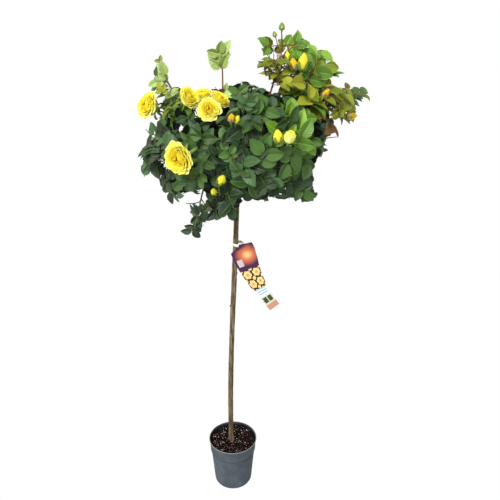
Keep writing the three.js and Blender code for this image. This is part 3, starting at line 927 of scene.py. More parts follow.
class Heap:
    """Small shapes gathered into one mesh."""

    def __init__(self) -> None:
        """Starts empty."""
        self.points: list[Array] = []
        self.quads: list[Array] = []
        self.triangles: list[Array] = []
        self.quad_slots: list[Array] = []
        self.triangle_slots: list[Array] = []
        self.count = 0

    def add(self, shape: Shape, slots: int | Array = 0) -> None:
        """Adds a shape.

        Args:
            shape: The shape.
            slots: The material slot of all its faces, or of each of its quads.
        """
        self.points.append(shape.points)
        self.quads.append(shape.quads + self.count)
        self.triangles.append(shape.triangles + self.count)
        self.quad_slots.append(np.broadcast_to(slots, len(shape.quads)))
        self.triangle_slots.append(np.full(len(shape.triangles), np.ravel(slots)[0]))
        self.count += len(shape.points)

    def add_copies(self, shape: Shape, places: Array, slots: Array) -> None:
        """Adds many copies of a shape of quads.

        Args:
            shape: The shape.
            places: A 3 by 4 matrix for each copy.
            slots: The material slot of each quad of each copy.
        """
        size = len(shape.points)
        points = np.einsum("nij,pj->npi", places[:, :, :3], shape.points) + places[:, None, :, 3]
        quads = shape.quads[None] + (np.arange(len(places)) * size)[:, None, None]
        self.add(Shape(points.reshape(-1, 3), quads.reshape(-1, 4), NO_TRIANGLES), slots.ravel())

    def piece(self, name: str) -> Piece:
        """Makes the object.

        Args:
            name: Its name.

        Returns:
            The object, smooth all over.
        """
        points = np.concatenate(self.points)
        quads = np.concatenate(self.quads)
        triangles = np.concatenate(self.triangles)
        mesh = bpy.data.meshes.new(name)
        mesh.vertices.add(len(points))
        mesh.vertices.foreach_set("co", points.astype(np.float32).ravel())
        corners = np.concatenate([quads.ravel(), triangles.ravel()])
        starts = np.concatenate([np.arange(len(quads)) * 4, quads.size + np.arange(len(triangles)) * 3])
        mesh.loops.add(len(corners))
        mesh.loops.foreach_set("vertex_index", corners.astype(np.int32))
        mesh.polygons.add(len(starts))
        mesh.polygons.foreach_set("loop_start", starts.astype(np.int32))
        slots = np.concatenate([*self.quad_slots, *self.triangle_slots])
        mesh.polygons.foreach_set("material_index", slots.astype(np.int32))
        mesh.update(calc_edges=True)
        made = bpy.data.objects.new(name, mesh)
        bpy.context.scene.collection.objects.link(made)
        return made

    def settled(self, name: str, degrees: float, finishes: Sequence[Finish]) -> Piece:
        """Makes the object, shades it and settles it on the frame.

        Args:
            name: Its name.
            degrees: The angle past which an edge stays sharp.
            finishes: The finish of each of its material slots.

        Returns:
            The piece.
        """
        made = self.piece(name)
        smooth(made, degrees)
        return settle(made, finishes)


def settle(
    piece: Piece, finishes: Sequence[Finish], stands_for: Sequence[str] = ()
) -> Piece:
    """Gives a piece its materials, and its place on the frame.

    Args:
        piece: The piece.
        finishes: The finish of each of its material slots.
        stands_for: The nodes that it replaces.

    Returns:
        The piece.
    """
    kept = np.zeros(len(piece.data.polygons), np.int32)
    piece.data.polygons.foreach_get("material_index", kept)
    piece.data.materials.clear()
    for finish in finishes:
        piece.data.materials.append(finish.material())
    piece.data.polygons.foreach_set("material_index", kept)
    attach(piece, BODY)
    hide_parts(*stands_for)
    log.info("%s: %d faces", piece.name, len(piece.data.polygons))
    return piece


# Growth


class Line:
    """A line through space, sampled at even steps."""

    def __init__(self, points: Array) -> None:
        """Measures the line.

        Args:
            points: Its points.
        """
        self.points = points
        self.marks = np.concatenate([[0.0], np.cumsum(np.linalg.norm(np.diff(points, axis=0), axis=1))])
        self.length = float(self.marks[-1])

    @classmethod
    def curve(cls, *controls: Array, steps: int = 12) -> Line:
        """A Bezier curve through its first and last control point.

        Args:
            controls: All its control points.
            steps: How many steps it has.

        Returns:
            The curve.
        """
        shares = np.linspace(0, 1, steps + 1)[:, None]
        points = [np.broadcast_to(control, (steps + 1, 3)) for control in controls]
        while len(points) > 1:
            points = [a + (b - a) * shares for a, b in zip(points, points[1:])]
        return cls(points[0])

    def at(self, share: float | Array) -> Array:
        """The point at a share of its length."""
        mark = np.asarray(share) * self.length
        return np.stack([np.interp(mark, self.marks, self.points[:, axis]) for axis in range(3)], axis=-1)

    def along(self, share: float) -> Array:
        """The direction at a share of its length."""
        low = min(0.96, max(0.0, share - 0.02))
        return unit(self.at(low + 0.04) - self.at(low))

    def part(self, first: float, last: float, steps: int) -> Line:
        """The stretch between two shares of its length."""
        return Line(self.at(np.linspace(first, last, steps + 1)))

    def dots(self, apart: float) -> Array:
        """Points along it, a given distance apart."""
        return self.at(np.linspace(0, 1, max(2, math.ceil(self.length / apart))))


@dataclass(frozen=True)
class Cane:
    """One mass of leaves.

    Its leading shoot ends at the tip, and its leaves stand as far beyond that shoot's ends as beyond says.
    Shoots is the number of its side shoots, and spread their length. Above the crest it is a slim shoot.
    The twigs are the tips of further twigs, which shape the crown's outline. Leaf is the size of its leaves,
    with 1 for the usual one, and red says that its stems are reddish.
    """

    name: str
    tip: Point
    beyond: float
    shoots: int
    spread: float
    tones: tuple[Tone, ...]
    crest: float = 2.0
    twigs: tuple[Point, ...] = ()
    leaf: float = 1.0
    red: bool = False

    @property
    def slim(self) -> bool:
        """Whether its top is a slim shoot."""
        return self.crest < self.tip[2]


# The tones that a mass draws from, with the last for a slim shoot.
SHADE = (Tone.DEEP, Tone.DEEP, Tone.DEEP, Tone.MID)
# The low and hanging masses draw darker leaves: painted shade.
LOW = (Tone.DARK, Tone.DEEP, Tone.DARK)
FRONT = (Tone.DEEP, Tone.DEEP, Tone.MID)
LIGHT = (Tone.FRESH, Tone.MID, Tone.FRESH, Tone.MID, Tone.MID)
TOP = (Tone.OLIVE, Tone.OLIVE, Tone.OLIVE, Tone.FRESH)
TIP = (
    Tone.OLIVE, Tone.FRESH, Tone.OLIVE, Tone.FRESH, Tone.OLIVE,
    Tone.MID, Tone.OLIVE, Tone.MID, Tone.RUSSET,
)
YOUNG = (Tone.MID, Tone.FRESH, Tone.PALE)
SPRIG = (Tone.MID, Tone.FRESH, Tone.OLIVE, Tone.PALE)
FLANK = (Tone.MID, Tone.DEEP, Tone.DEEP)

CANES: dict[str, tuple[Cane, ...]] = {
    "left": (
        Cane(
            "left_high", (-0.185, 0.028, 1.466), 0.020, 7, 0.085, SPRIG, crest=1.395, leaf=0.7,
            twigs=((-0.196, 0.028, 1.400), (-0.182, 0.028, 1.420)),
        ),
        Cane(
            "left_low", (-0.196, -0.025, 1.198), 0.082, 7, 0.080, LOW, leaf=1.16,
            twigs=(
                (-0.232, -0.020, 1.290), (-0.208, -0.030, 1.265), (-0.200, -0.040, 1.212),
                (-0.198, -0.030, 1.165), (-0.165, -0.050, 1.115),
            ),
        ),
        Cane(
            "left_hanging", (-0.088, -0.060, 1.060), 0.080, 6, 0.060, LOW, leaf=1.12,
            twigs=((-0.096, -0.110, 1.024),),
        ),
    ),
    "front_left": (
        Cane("front_left", (-0.106, -0.165, 1.228), 0.060, 7, 0.080, FRONT),
        Cane("upper_left", (-0.066, -0.066, 1.335), 0.072, 7, 0.080, FRONT),
    ),
    "front": (
        Cane("front_high", (0.050, -0.132, 1.372), 0.060, 8, 0.085, FRONT),
        Cane("front_low", (0.074, -0.188, 1.232), 0.072, 8, 0.085, FRONT),
        Cane("front_hanging", (-0.014, -0.158, 1.122), 0.072, 7, 0.070, LOW),
    ),
    "right": (
        Cane("right_front", (0.172, -0.150, 1.305), 0.060, 8, 0.085, LIGHT),
        Cane(
            "right_low", (0.196, -0.076, 1.140), 0.074, 7, 0.080, SHADE,
            twigs=((0.212, -0.070, 1.120), (0.176, -0.060, 1.098)),
        ),
        Cane("right_middle", (0.252, -0.020, 1.250), 0.088, 7, 0.080, FLANK, twigs=((0.312, 0.0, 1.264),)),
        Cane(
            "right_hanging", (0.104, 0.030, 1.092), 0.066, 6, 0.060, SHADE,
            twigs=((0.104, -0.020, 1.082), (0.052, -0.020, 1.094)),
        ),
    ),
    "upper_right": (
        Cane(
            "top_right", (0.146, 0.0, 1.550), 0.020, 7, 0.085, TOP, crest=1.485, leaf=1.15, red=True,
            twigs=((0.180, 0.0, 1.512), (0.118, 0.0, 1.508), (0.092, 0.0, 1.476), (0.100, 0.0, 1.440)),
        ),
        Cane(
            "right_high", (0.262, 0.024, 1.444), 0.056, 8, 0.085, TOP, leaf=1.15, red=True,
            twigs=((0.304, 0.020, 1.460), (0.222, 0.030, 1.490)),
        ),
        Cane(
            "far_right", (0.350, 0.005, 1.358), 0.060, 8, 0.085, TIP, leaf=1.1, red=True,
            twigs=((0.350, 0.0, 1.392), (0.335, 0.0, 1.412), (0.366, 0.0, 1.382)),
        ),
    ),
    "back_left": (
        Cane("top_left", (-0.022, 0.048, 1.508), 0.020, 5, 0.060, YOUNG, crest=1.385, leaf=1.05, red=True),
        Cane("back_left", (-0.142, 0.145, 1.325), 0.060, 8, 0.085, FRONT),
        Cane("back_left_low", (-0.088, 0.160, 1.168), 0.060, 7, 0.080, SHADE),
    ),
    "back_right": (
        Cane("back_high", (0.048, 0.150, 1.380), 0.060, 8, 0.085, FRONT),
        Cane("back_right", (0.190, 0.155, 1.315), 0.060, 8, 0.078, FRONT),
        Cane("back_right_low", (0.130, 0.165, 1.150), 0.068, 7, 0.080, SHADE),
    ),
}


class Kind(Enum):
    """How far open a flower is."""

    BLOOM = "bloom"
    CUP = "cup"
    BUD = "bud"
    KNOB = "knob"


@dataclass(frozen=True)
class Flower:
    """A flower: its middle, the way it faces, its width, and whether it is flushed with coral."""

    kind: Kind
    centre: Point
    facing: Point
    width: float
    coral: bool = False


FLOWERS = (
    Flower(Kind.BLOOM, (-0.2255, 0.015, 1.349), (-0.62, -0.64, 0.45), 0.087),
    Flower(Kind.BLOOM, (-0.100, -0.085, 1.383), (0.62, -0.6, 0.5), 0.068),
    Flower(Kind.BLOOM, (-0.068, -0.010, 1.380), (-0.2, -0.3, 0.93), 0.066),
    Flower(Kind.BLOOM, (-0.044, -0.135, 1.361), (0.0, -0.93, 0.36), 0.068),
    Flower(Kind.BLOOM, (-0.021, -0.060, 1.374), (0.5, -0.4, 0.75), 0.066),
    Flower(Kind.BLOOM, (-0.115, -0.211, 1.252), (-0.45, -0.89, -0.02), 0.094),
    Flower(Kind.BUD, (0.202, -0.050, 1.470), (0.12, -0.1, 0.98), 0.031),
    Flower(Kind.BUD, (0.177, -0.055, 1.465), (-0.12, -0.15, 0.98), 0.023, True),
    Flower(Kind.BUD, (0.161, -0.045, 1.486), (-0.1, 0.0, 1.0), 0.016),
    Flower(Kind.KNOB, (0.251, 0.020, 1.485), (0.2, 0.0, 0.98), 0.017),
    Flower(Kind.KNOB, (0.147, 0.0, 1.559), (0.0, 0.0, 1.0), 0.015),
    Flower(Kind.KNOB, (0.128, 0.0, 1.540), (-0.35, 0.0, 0.93), 0.011),
    Flower(Kind.BUD, (0.271, -0.025, 1.386), (0.5, -0.2, 0.8), 0.021, True),
    Flower(Kind.BUD, (0.342, -0.035, 1.328), (0.95, -0.1, 0.1), 0.021, True),
    Flower(Kind.BUD, (0.131, -0.225, 1.308), (-0.1, -0.2, 0.97), 0.024),
    Flower(Kind.CUP, (0.160, -0.222, 1.305), (0.25, -0.3, 0.9), 0.031),
    Flower(Kind.BUD, (-0.011, -0.215, 1.196), (0.3, -0.5, 0.8), 0.022),
    Flower(Kind.BUD, (-0.033, -0.178, 1.153), (-0.2, -0.6, 0.75), 0.017),
    Flower(Kind.BUD, (0.016, -0.212, 1.352), (0.1, -0.4, 0.9), 0.017, True),
    Flower(Kind.BUD, (0.030, -0.205, 1.347), (0.3, -0.3, 0.9), 0.015),
    Flower(Kind.BLOOM, (-0.150, 0.203, 1.340), (-0.4, 0.75, 0.5), 0.078),
    Flower(Kind.BLOOM, (0.066, 0.216, 1.325), (0.1, 0.9, 0.35), 0.074),
    Flower(Kind.CUP, (0.014, 0.205, 1.340), (-0.3, 0.5, 0.8), 0.042),
    Flower(Kind.BLOOM, (0.214, 0.210, 1.330), (0.4, 0.75, 0.5), 0.080),
    Flower(Kind.BUD, (0.252, 0.168, 1.376), (0.5, 0.3, 0.8), 0.023),
    Flower(Kind.BUD, (-0.108, 0.222, 1.190), (-0.3, 0.85, 0.4), 0.022),
    Flower(Kind.CUP, (0.148, 0.225, 1.178), (0.2, 0.9, 0.35), 0.038),
)


class Opening(NamedTuple):
    """Open sky in the crown's outline, seen from the front: its place in the crown's middle plane."""

    x: float
    z: float
    radius: float


# Each opening's X, its Z and its radius.
SKY = (
    (-0.103, 1.447, 0.040), (-0.088, 1.490, 0.024), (-0.130, 1.475, 0.018), (-0.230, 1.450, 0.034),
    (-0.060, 1.430, 0.018), (-0.142, 1.424, 0.022), (-0.117, 1.408, 0.018), (-0.086, 1.408, 0.018),
    (-0.058, 1.406, 0.016), (0.052, 1.500, 0.034), (0.046, 1.456, 0.030), (0.030, 1.434, 0.018),
    (0.012, 1.415, 0.008), (0.126, 1.400, 0.016), (0.098, 1.411, 0.012), (0.096, 1.552, 0.020),
    (0.140, 1.560, 0.034), (0.120, 1.540, 0.010), (-0.250, 1.262, 0.014), (-0.270, 1.050, 0.055),
    (-0.180, 1.015, 0.028), (-0.140, 1.030, 0.022), (0.066, 1.034, 0.034), (0.145, 1.038, 0.040),
    (0.205, 1.022, 0.040), (0.316, 1.080, 0.046), (0.300, 1.172, 0.040), (0.376, 1.232, 0.040),
    (0.400, 1.290, 0.036), (0.345, 1.436, 0.024), (0.385, 1.430, 0.030), (-0.158, 1.193, 0.009),
    (0.126, 1.487, 0.009), (0.074, 1.422, 0.017), (-0.046, 1.515, 0.011), (0.012, 1.416, 0.011),
    (-0.021, 1.416, 0.014), (0.307, 1.418, 0.014), (0.382, 1.343, 0.014), (0.322, 1.295, 0.013),
    (0.351, 1.291, 0.014), (0.297, 1.247, 0.010), (0.294, 1.226, 0.010), (0.267, 1.182, 0.015),
    (0.267, 1.152, 0.015), (0.266, 1.121, 0.015), (-0.238, 1.128, 0.015), (-0.221, 1.106, 0.015),
    (-0.127, 1.075, 0.009), (-0.085, 1.081, 0.014), (-0.064, 0.989, 0.012), (-0.039, 0.985, 0.012),
    (-0.011, 0.998, 0.014), (-0.185, 1.186, 0.009), (-0.133, 1.285, 0.007), (-0.088, 1.321, 0.009),
    (-0.162, 1.474, 0.008), (-0.143, 1.414, 0.011),
)
OPENINGS = tuple(Opening(*spot) for spot in SKY)


class Room:
    """The space round the crown, as small cells that are barred, taken or free."""

    FREE, BARRED, TAKEN = 0, 1, 2

    def __init__(self, low: Array, high: Array, cell: float) -> None:
        """Makes free cells between two corners.

        Args:
            low: The lowest corner.
            high: The highest corner.
            cell: A cell's size.
        """
        self.low = low
        self.cell = cell
        self.state = np.full(np.ceil((high - low) / cell).astype(int), self.FREE, np.uint8)

    def cells(self, points: Array) -> tuple[tuple[Array, ...], Array]:
        """The cell of each point, and whether it is inside.

        Args:
            points: The points.

        Returns:
            The cell numbers along each axis, and whether each point is inside.
        """
        index = np.floor((points - self.low) / self.cell).astype(int)
        inside = np.all((index >= 0) & (index < self.state.shape), axis=-1)
        clipped = np.clip(index, 0, np.array(self.state.shape) - 1)
        return tuple(np.moveaxis(clipped, -1, 0)), inside

    def look(self, points: Array) -> Array:
        """The state at each point, which is barred outside the box."""
        cells, inside = self.cells(points)
        return np.where(inside, self.state[cells], self.BARRED)

    def take(self, points: Array) -> None:
        """Takes the cells at some points."""
        cells, inside = self.cells(points)
        self.state[tuple(axis[inside] for axis in cells)] = self.TAKEN

    def bar(self, centre: Array, radius: float) -> None:
        """Bars the cells within a ball.

        Args:
            centre: The ball's middle.
            radius: Its radius.
        """
        steps = np.arange(-radius, radius + self.cell, self.cell * 0.8)
        offsets = np.stack(np.meshgrid(steps, steps, steps, indexing="ij"), axis=-1).reshape(-1, 3)
        cells, inside = self.cells(centre + offsets[np.linalg.norm(offsets, axis=1) <= radius])
        self.state[tuple(axis[inside] for axis in cells)] = self.BARRED


@dataclass(frozen=True)
class Leaf:
    """A leaf: its stalk, its size, its tone and shade, and the place of each of its leaflets."""

    stalk: Array
    size: float
    tone: Tone
    shade: int
    leaflets: Array


class Limb(NamedTuple):
    """A round limb: its line, its radius at the start and at the end, and its sides."""

    line: Line
    start: float
    end: float
    sides: int

    def radius(self, share: float | Array) -> float | Array:
        """The radius at a share of its length."""
        return self.start + (self.end - self.start) * share

    def shape(self) -> Shape:
        """The limb as a tube."""
        return tube(self.line.points, np.linspace(self.start, self.end, len(self.line.points)), self.sides)


@dataclass
class Crown:
    """The stem, its canes and all that grows on them.

    Each room is how near to bark, the graft, a flower's view or the sight of it a leaf may come. The sight
    span is the part of a line of sight that an opening bars, in shares of its way to the middle plane.
    """

    head: Point = (0.024, 0.0, 1.113)
    stem_controls: tuple[Point, ...] = (
        (-0.005, 0, 0.165),
        (-0.012, 0.005, 0.5),
        (0.016, -0.004, 0.8),
        (0.024, 0, 1.128),
    )
    limb_reach: float = 0.4
    limb_lift: float = 0.022
    limb_bow: float = 0.05
    limb_radii: Pair = (0.0046, 0.0037)
    bough_radii: Pair = (0.0033, 0.0027)
    first_fork: float = 0.6
    last_fork: float = 0.97
    bend: float = 0.42
    arch: float = 0.16
    follow: float = 0.08
    bare: float = 0.42
    first_shoot: float = 0.1
    last_shoot: float = 0.7
    shoot_lift: float = 0.3
    twigs_per_shoot: int = 2
    internode: float = 0.019
    leaf_turn: float = 2.513
    turns_tried: int = 8
    rachis: float = 0.056
    girth: float = 0.060
    slim_lean: float = 0.15
    slim_rise: float = 0.4
    slim_rachis: float = 0.45
    core: Point = (0.188, 0.138, 0.135)
    to_front: float = 1.05
    clear_view: float = 0.05
    clear_sight: float = 0.11
    view_room: float = 0.48
    sight_room: float = 0.42
    sight_span: Pair = (0.83, 1.17)
    sight_step: float = 0.006
    front: float = 0.1
    bark_room: float = 0.003
    graft_room: float = 0.013
    graft_dots: int = 70
    cell: float = 0.0062
    border: float = 0.004
    seed: int = 41

    def __post_init__(self) -> None:
        """Grows the bare canes, and bars the room that they and the flowers take."""
        self.random = np.random.default_rng(self.seed)
        self.stem = Line.curve(*[np.array(point) for point in self.stem_controls], steps=400)
        self.limbs: list[Limb] = []
        self.boughs: list[Limb] = []
        self.masses: list[Mass] = []
        for canes in CANES.values():
            self._grow_limb(canes)
        self.middles = np.array([mass.middle for mass in self.masses])
        self.middle = self.middles.mean(axis=0)
        low, high = (np.array(corner) for corner in CAD_BOX)
        self.room = Room(low + self.border, high - self.border, self.cell)
        for limb in [*self.limbs, *self.boughs]:
            for dot in limb.line.dots(self.cell):
                self.room.bar(dot, limb.start + self.bark_room)
        for dot in self.stem.dots(self.cell)[-self.graft_dots :]:
            self.room.bar(dot, self.graft_room)
        for flower in FLOWERS:
            self._clear(flower)
            self.masses[self.owner(np.array(flower.centre))].flowers.append(flower)
        for opening in OPENINGS:
            self._open(opening)

    def _grow_limb(self, canes: Sequence[Cane]) -> None:
        """Grows one limb from the head, and forks it into the boughs of its masses.

        Args:
            canes: The masses that it carries.
        """
        head = np.array(self.head)
        lean = np.mean([np.array(cane.tip) - head for cane in canes], axis=0)
        end = head + lean * self.limb_reach + UP * self.limb_lift
        level = lean * (1, 1, 0)
        line = Line.curve(head, (head + end) / 2 + level * self.limb_bow, end)
        self.limbs.append(Limb(line, *self.limb_radii, 14))
        for i, cane in enumerate(canes):
            share = self.first_fork + (self.last_fork - self.first_fork) * (i + 0.5) / len(canes)
            start = line.at(share)
            tip = np.array(cane.tip)
            span = np.linalg.norm(tip - start)
            bend = start + (tip - start) * self.bend + UP * self.arch * span
            whole = Line.curve(start, bend + line.along(share) * self.follow * span, tip, steps=40)
            self.boughs.append(Limb(whole.part(0, self.bare, 12), *self.bough_radii, 12))
            leader = whole.part(self.bare, 1, 16)
            middle = leader.at(0.5)
            reach = 0.5 * leader.length + cane.beyond
            if cane.slim:
                root = leader.at(0.0)
                rise = self.slim_rise * leader.length
                below = tip + (self.slim_lean * rise, 0, -rise)
                leader = Line.curve(root, root + leader.along(0) * rise, below, tip, steps=16)
            self.masses.append(Mass(cane, leader, middle, reach))

    def owner(self, point: Array) -> int:
        """The number of the mass whose middle is nearest."""
        return int(np.argmin(np.linalg.norm(self.middles - point, axis=1)))

    def _clear(self, flower: Flower) -> None:
        """Bars the room of a flower, the room before it, and for one in front the sight of it.

        Args:
            flower: The flower.
        """
        centre = np.array(flower.centre)
        ahead = centre + unit(np.array(flower.facing)) * self.clear_view
        self._bar_line(centre, ahead, self.view_room * flower.width)
        if centre[1] < self.front:
            sight = unit(np.array(View.place) - centre)
            self._bar_line(centre, centre + sight * self.clear_sight, self.sight_room * flower.width)

    def _open(self, opening: Opening) -> None:
        """Bars a line of sight through the whole crown.

        Args:
            opening: The opening that the line goes through.
        """
        eye = np.array(View.place)
        point = np.array([opening.x, 0.0, opening.z])
        near, far = (eye + (point - eye) * share for share in self.sight_span)
        self._bar_line(near, far, opening.radius)

    def _bar_line(self, start: Array, end: Array, radius: float) -> None:
        """Bars all that is within a radius of a straight line.

        Args:
            start: The line's start.
            end: Its end.
            radius: The radius.
        """
        steps = math.ceil(np.linalg.norm(end - start) / max(self.sight_step, 0.5 * radius)) + 1
        for share in np.linspace(0, 1, steps):
            self.room.bar(start + (end - start) * share, radius)

    def grow(self) -> None:
        """Grows the shoots of every mass, and then its leaves."""
        for mass in self.masses:
            mass.grow_stalks()
            mass.grow_shoots(self)
        for mass in self.masses:
            for limb in [*mass.shoots, *mass.stalks]:
                self.room.take(limb.line.dots(self.cell))
        for mass in self.masses:
            mass.grow_leaves(self)
        log.info("%d leaves, %d leaflets", *self.count())

    def count(self) -> tuple[int, int]:
        """How many leaves and leaflets have grown."""
        leaves = [leaf for mass in self.masses for leaf in mass.leaves]
        return len(leaves), sum(len(leaf.leaflets) for leaf in leaves)


class LeafPlan(NamedTuple):
    """Where a leaflet stands on its leaf: the share of the stalk, the angle to it, and its size."""

    at: float
    angle: float
    size: float


FIVE_LEAFLETS = (
    LeafPlan(1.0, 0.0, 1.0),
    LeafPlan(0.7, 1.12, 0.9),
    LeafPlan(0.7, -1.12, 0.9),
    LeafPlan(0.36, 1.25, 0.74),
    LeafPlan(0.36, -1.25, 0.74),
)
THREE_LEAFLETS = (LeafPlan(1.0, 0.0, 1.08), LeafPlan(0.62, 1.15, 0.98), LeafPlan(0.62, -1.15, 0.98))
SLIM_LEAFLETS = (LeafPlan(1.0, 0.0, 1.0), LeafPlan(0.3, 0.75, 0.72), LeafPlan(0.3, -0.75, 0.72))
LEAFLET_LENGTH = 0.058
LEAFLET_WIDTH = 0.037
# The parts of a leaflet that its faces belong to. The pale part is the midrib and the edge, and the edge's
# paleness is a painted highlight.
BLADE, PALE, UNDERSIDE = 0, 1, 2


def leaflet_samples() -> Array:
    """Points spread over a leaflet of its full size, as its distances across and along it.

    Returns:
        The two distances of each point.
    """
    rows = [(0.08, 0.35), (0.25, 0.8), (0.42, 1.0), (0.6, 0.85), (0.78, 0.5), (0.97, 0.1)]
    halves = (-0.5, -0.25, 0.0, 0.25, 0.5)
    places = [(side * wide, along) for along, wide in rows for side in halves]
    return np.array([(x * LEAFLET_WIDTH, y * LEAFLET_LENGTH) for x, y in places])


SAMPLES = leaflet_samples()


class Mass:
    """A mass of leaves: its leader, its shoots and stalks, and its leaves."""

    DROOP = 0.16
    LEADER_RADII = (0.0027, 0.0016)
    OUTLINE_RADII = (0.0018, 0.0011)
    SHOOT_RADIUS = 0.0017
    TWIG_RADIUS = 0.0011
    FLOWER_FOOT = 0.42
    STALK_LENGTH = 0.06
    FIVE_SHARE = 0.8
    LEAF_SIZES = (0.84, 1.08)
    SIZES_TRIED = (1.0, 0.8, 0.62)
    LENGTHS_TRIED = (1, 0.75, 0.56, 0.42)

    def __init__(self, cane: Cane, leader: Line, middle: Array, reach: float) -> None:
        """Starts with the bare leader.

        Args:
            cane: What kind of mass it is.
            leader: Its leading shoot.
            middle: Its middle.
            reach: How far from its middle its leaves may stand.
        """
        self.cane = cane
        self.leader = leader
        self.middle = middle
        self.reach = reach
        self.guides = np.concatenate([leader.points, np.array(cane.twigs).reshape(-1, 3)])
        self.shoots = [Limb(leader, *self.LEADER_RADII, 8)]
        self.stalks: list[Limb] = []
        self.flowers: list[Flower] = []
        self.leaves: list[Leaf] = []

    def grow_stalks(self) -> None:
        """Grows a stalk from the leader up to each flower."""
        for flower in self.flowers:
            facing = unit(np.array(flower.facing))
            base = np.array(flower.centre) - facing * self.FLOWER_FOOT * flower.width
            shares = np.linspace(0.06, 0.97, 13)
            starts = self.leader.at(shares)
            misfit = np.abs(np.linalg.norm(starts - base, axis=1) - self.STALK_LENGTH)
            start = starts[np.argmin(misfit + 0.5 * (starts[:, 2] - base[2]))]
            bend = base - facing * 0.45 * np.linalg.norm(base - start)
            thick = 0.0011 + 0.012 * flower.width
            self.stalks.append(Limb(Line.curve(start, bend, base, steps=9), thick * 1.15, thick, 7))

    def grow_shoots(self, crown: Crown) -> None:
        """Grows side shoots round the leader, finer twigs on them, and the outline's own twigs.

        Args:
            crown: The crown it is in.
        """
        for i in range(self.cane.shoots):
            span = crown.last_shoot - crown.first_shoot
            share = crown.first_shoot + span * (i + 0.5) / self.cane.shoots
            if self.leader.at(share)[2] > self.cane.crest:
                continue
            length = self.cane.spread * (1.1 - 0.45 * share) * crown.random.uniform(0.85, 1.15)
            shoot = self._shoot(crown, self.leader, share, i * GOLDEN_TURN, length, self.SHOOT_RADIUS, 6)
            for j in range(crown.twigs_per_shoot if shoot else 0):
                place = 0.35 + 0.3 * j
                turn = GOLDEN_TURN * (j + i)
                self._shoot(crown, shoot.line, place, turn, length * 0.5, self.TWIG_RADIUS, 5)
        for tip in self.cane.twigs:
            end = np.array(tip)
            starts = self.leader.at(np.linspace(0.1, 0.85, 16))
            start = starts[np.argmin(np.linalg.norm(starts - end, axis=1))]
            bend = (start + end) / 2 + UP * 0.12 * np.linalg.norm(end - start)
            self.shoots.append(Limb(Line.curve(start, bend, end, steps=7), *self.OUTLINE_RADII, 6))

    def _shoot(
        self, crown: Crown, parent: Line, share: float, turn: float, length: float, thick: float, sides: int
    ) -> Limb | None:
        """Grows one shoot, shortened until it fits.

        Args:
            crown: The crown it is in.
            parent: The line that it grows from.
            share: Where on that line it starts.
            turn: Which way it points round that line.
            length: Its full length.
            thick: Its radius where it starts.
            sides: How many sides it has.

        Returns:
            The shoot, or None where none fits.
        """
        start = parent.at(share)
        along = parent.along(share)
        out = out_from(along, turn + crown.random.uniform(0, 1.2))
        heading = mixed((along, 0.4), (out, 0.85), (unit(start - crown.middle), 0.35))
        for part in self.LENGTHS_TRIED:
            reach = length * part
            end = start + mixed((heading, 1), (UP, crown.shoot_lift)) * reach
            line = Line.curve(start, start + heading * reach * 0.5, end, steps=7)
            dots = line.at(np.array([0.4, 0.6, 0.8, 1.0]))
            if np.all(self._keeps(crown, dots)) and crown.owner(dots[-1]) == crown.owner(self.middle):
                made = Limb(line, thick, thick * 0.7, sides)
                self.shoots.append(made)
                return made
        return None

    def _keeps(self, crown: Crown, points: Array) -> Array:
        """Whether each point is in reach, not barred, and near the guides where it is above the crest.

        Args:
            crown: The crown it is in.
            points: The points.

        Returns:
            Whether each may be taken.
        """
        keeps = np.linalg.norm(points - self.middle, axis=-1) < self.reach
        keeps &= crown.room.look(points) != Room.BARRED
        if self.cane.slim:
            gaps = np.linalg.norm(points[..., None, :] - self.guides, axis=-1).min(axis=-1)
            keeps &= (points[..., 2] < self.cane.crest) | (gaps < crown.girth)
        return keeps

    def grow_leaves(self, crown: Crown) -> None:
        """Sets leaves along every shoot, in a shuffled order, each turned so that most of it fits.

        Args:
            crown: The crown it is in.
        """
        sites = []
        apart = crown.internode * 0.85
        for shoot in self.shoots:
            count = max(2, round(shoot.line.length / apart))
            first = crown.random.uniform(0, FULL_TURN)
            for i, share in enumerate(np.linspace(0.22, 1.0, count)):
                sites.append((shoot, share, first + i * crown.leaf_turn))
        for number in crown.random.permutation(len(sites)):
            leaf = self._leaf(crown, *sites[number])
            if leaf:
                self.leaves.append(leaf)

    def _leaf(self, crown: Crown, shoot: Limb, share: float, turn: float) -> Leaf | None:
        """The best leaf that fits at one place, or None.

        Args:
            crown: The crown it is in.
            shoot: The shoot that it grows on.
            share: Where on that shoot it stands.
            turn: Which way it first points round that shoot.

        Returns:
            The leaf.
        """
        random = crown.random
        root = shoot.line.at(share)
        along = shoot.line.along(share)
        side, over = across(along)
        outward = unit(root - crown.middle)
        face = crown.to_front * min(1.0, max(0.0, 0.55 - outward[1]))
        light = mixed((outward, 0.7), (UP, 0.45), (FORWARD, face), (unit(random.normal(size=3)), 0.5))
        full = random.uniform(*self.LEAF_SIZES) * self.cane.leaf
        slim = root[2] > self.cane.crest
        plan = FIVE_LEAFLETS if random.random() < self.FIVE_SHARE else THREE_LEAFLETS
        if slim:
            plan = SLIM_LEAFLETS
            light = mixed((outward, 0.3), (FORWARD, 1.0), (unit(random.normal(size=3)), 0.35))
        rachis = crown.rachis * (crown.slim_rachis if slim else 1.0)
        tone = self._tone(crown, root, slim)
        shade = int(random.integers(UPPER_SIDES))
        rise = 1.5 if share > 0.95 or slim else 0.3
        angles = turn + 0.85 * np.arange(crown.turns_tried)[:, None]
        way = unit(along * rise + (side * np.cos(angles) + over * np.sin(angles)) * 0.8)
        heading = unit(way + light * (0.3 - way @ light)[:, None])
        normal = unit(light - heading * (heading @ light)[:, None])
        best: tuple[int, int, float, Array, Array] | None = None
        for size in self.SIZES_TRIED:
            places = self._leaf_places(root, heading, normal, full * size, rachis, plan)
            fits = self._fits(crown, places)
            pick = int(np.argmax(fits.sum(axis=1) + 0.5 * fits[:, 0]))
            found = int(fits[pick].sum())
            if best is None or found > best[0]:
                best = (found, pick, full * size, places[pick], fits[pick])
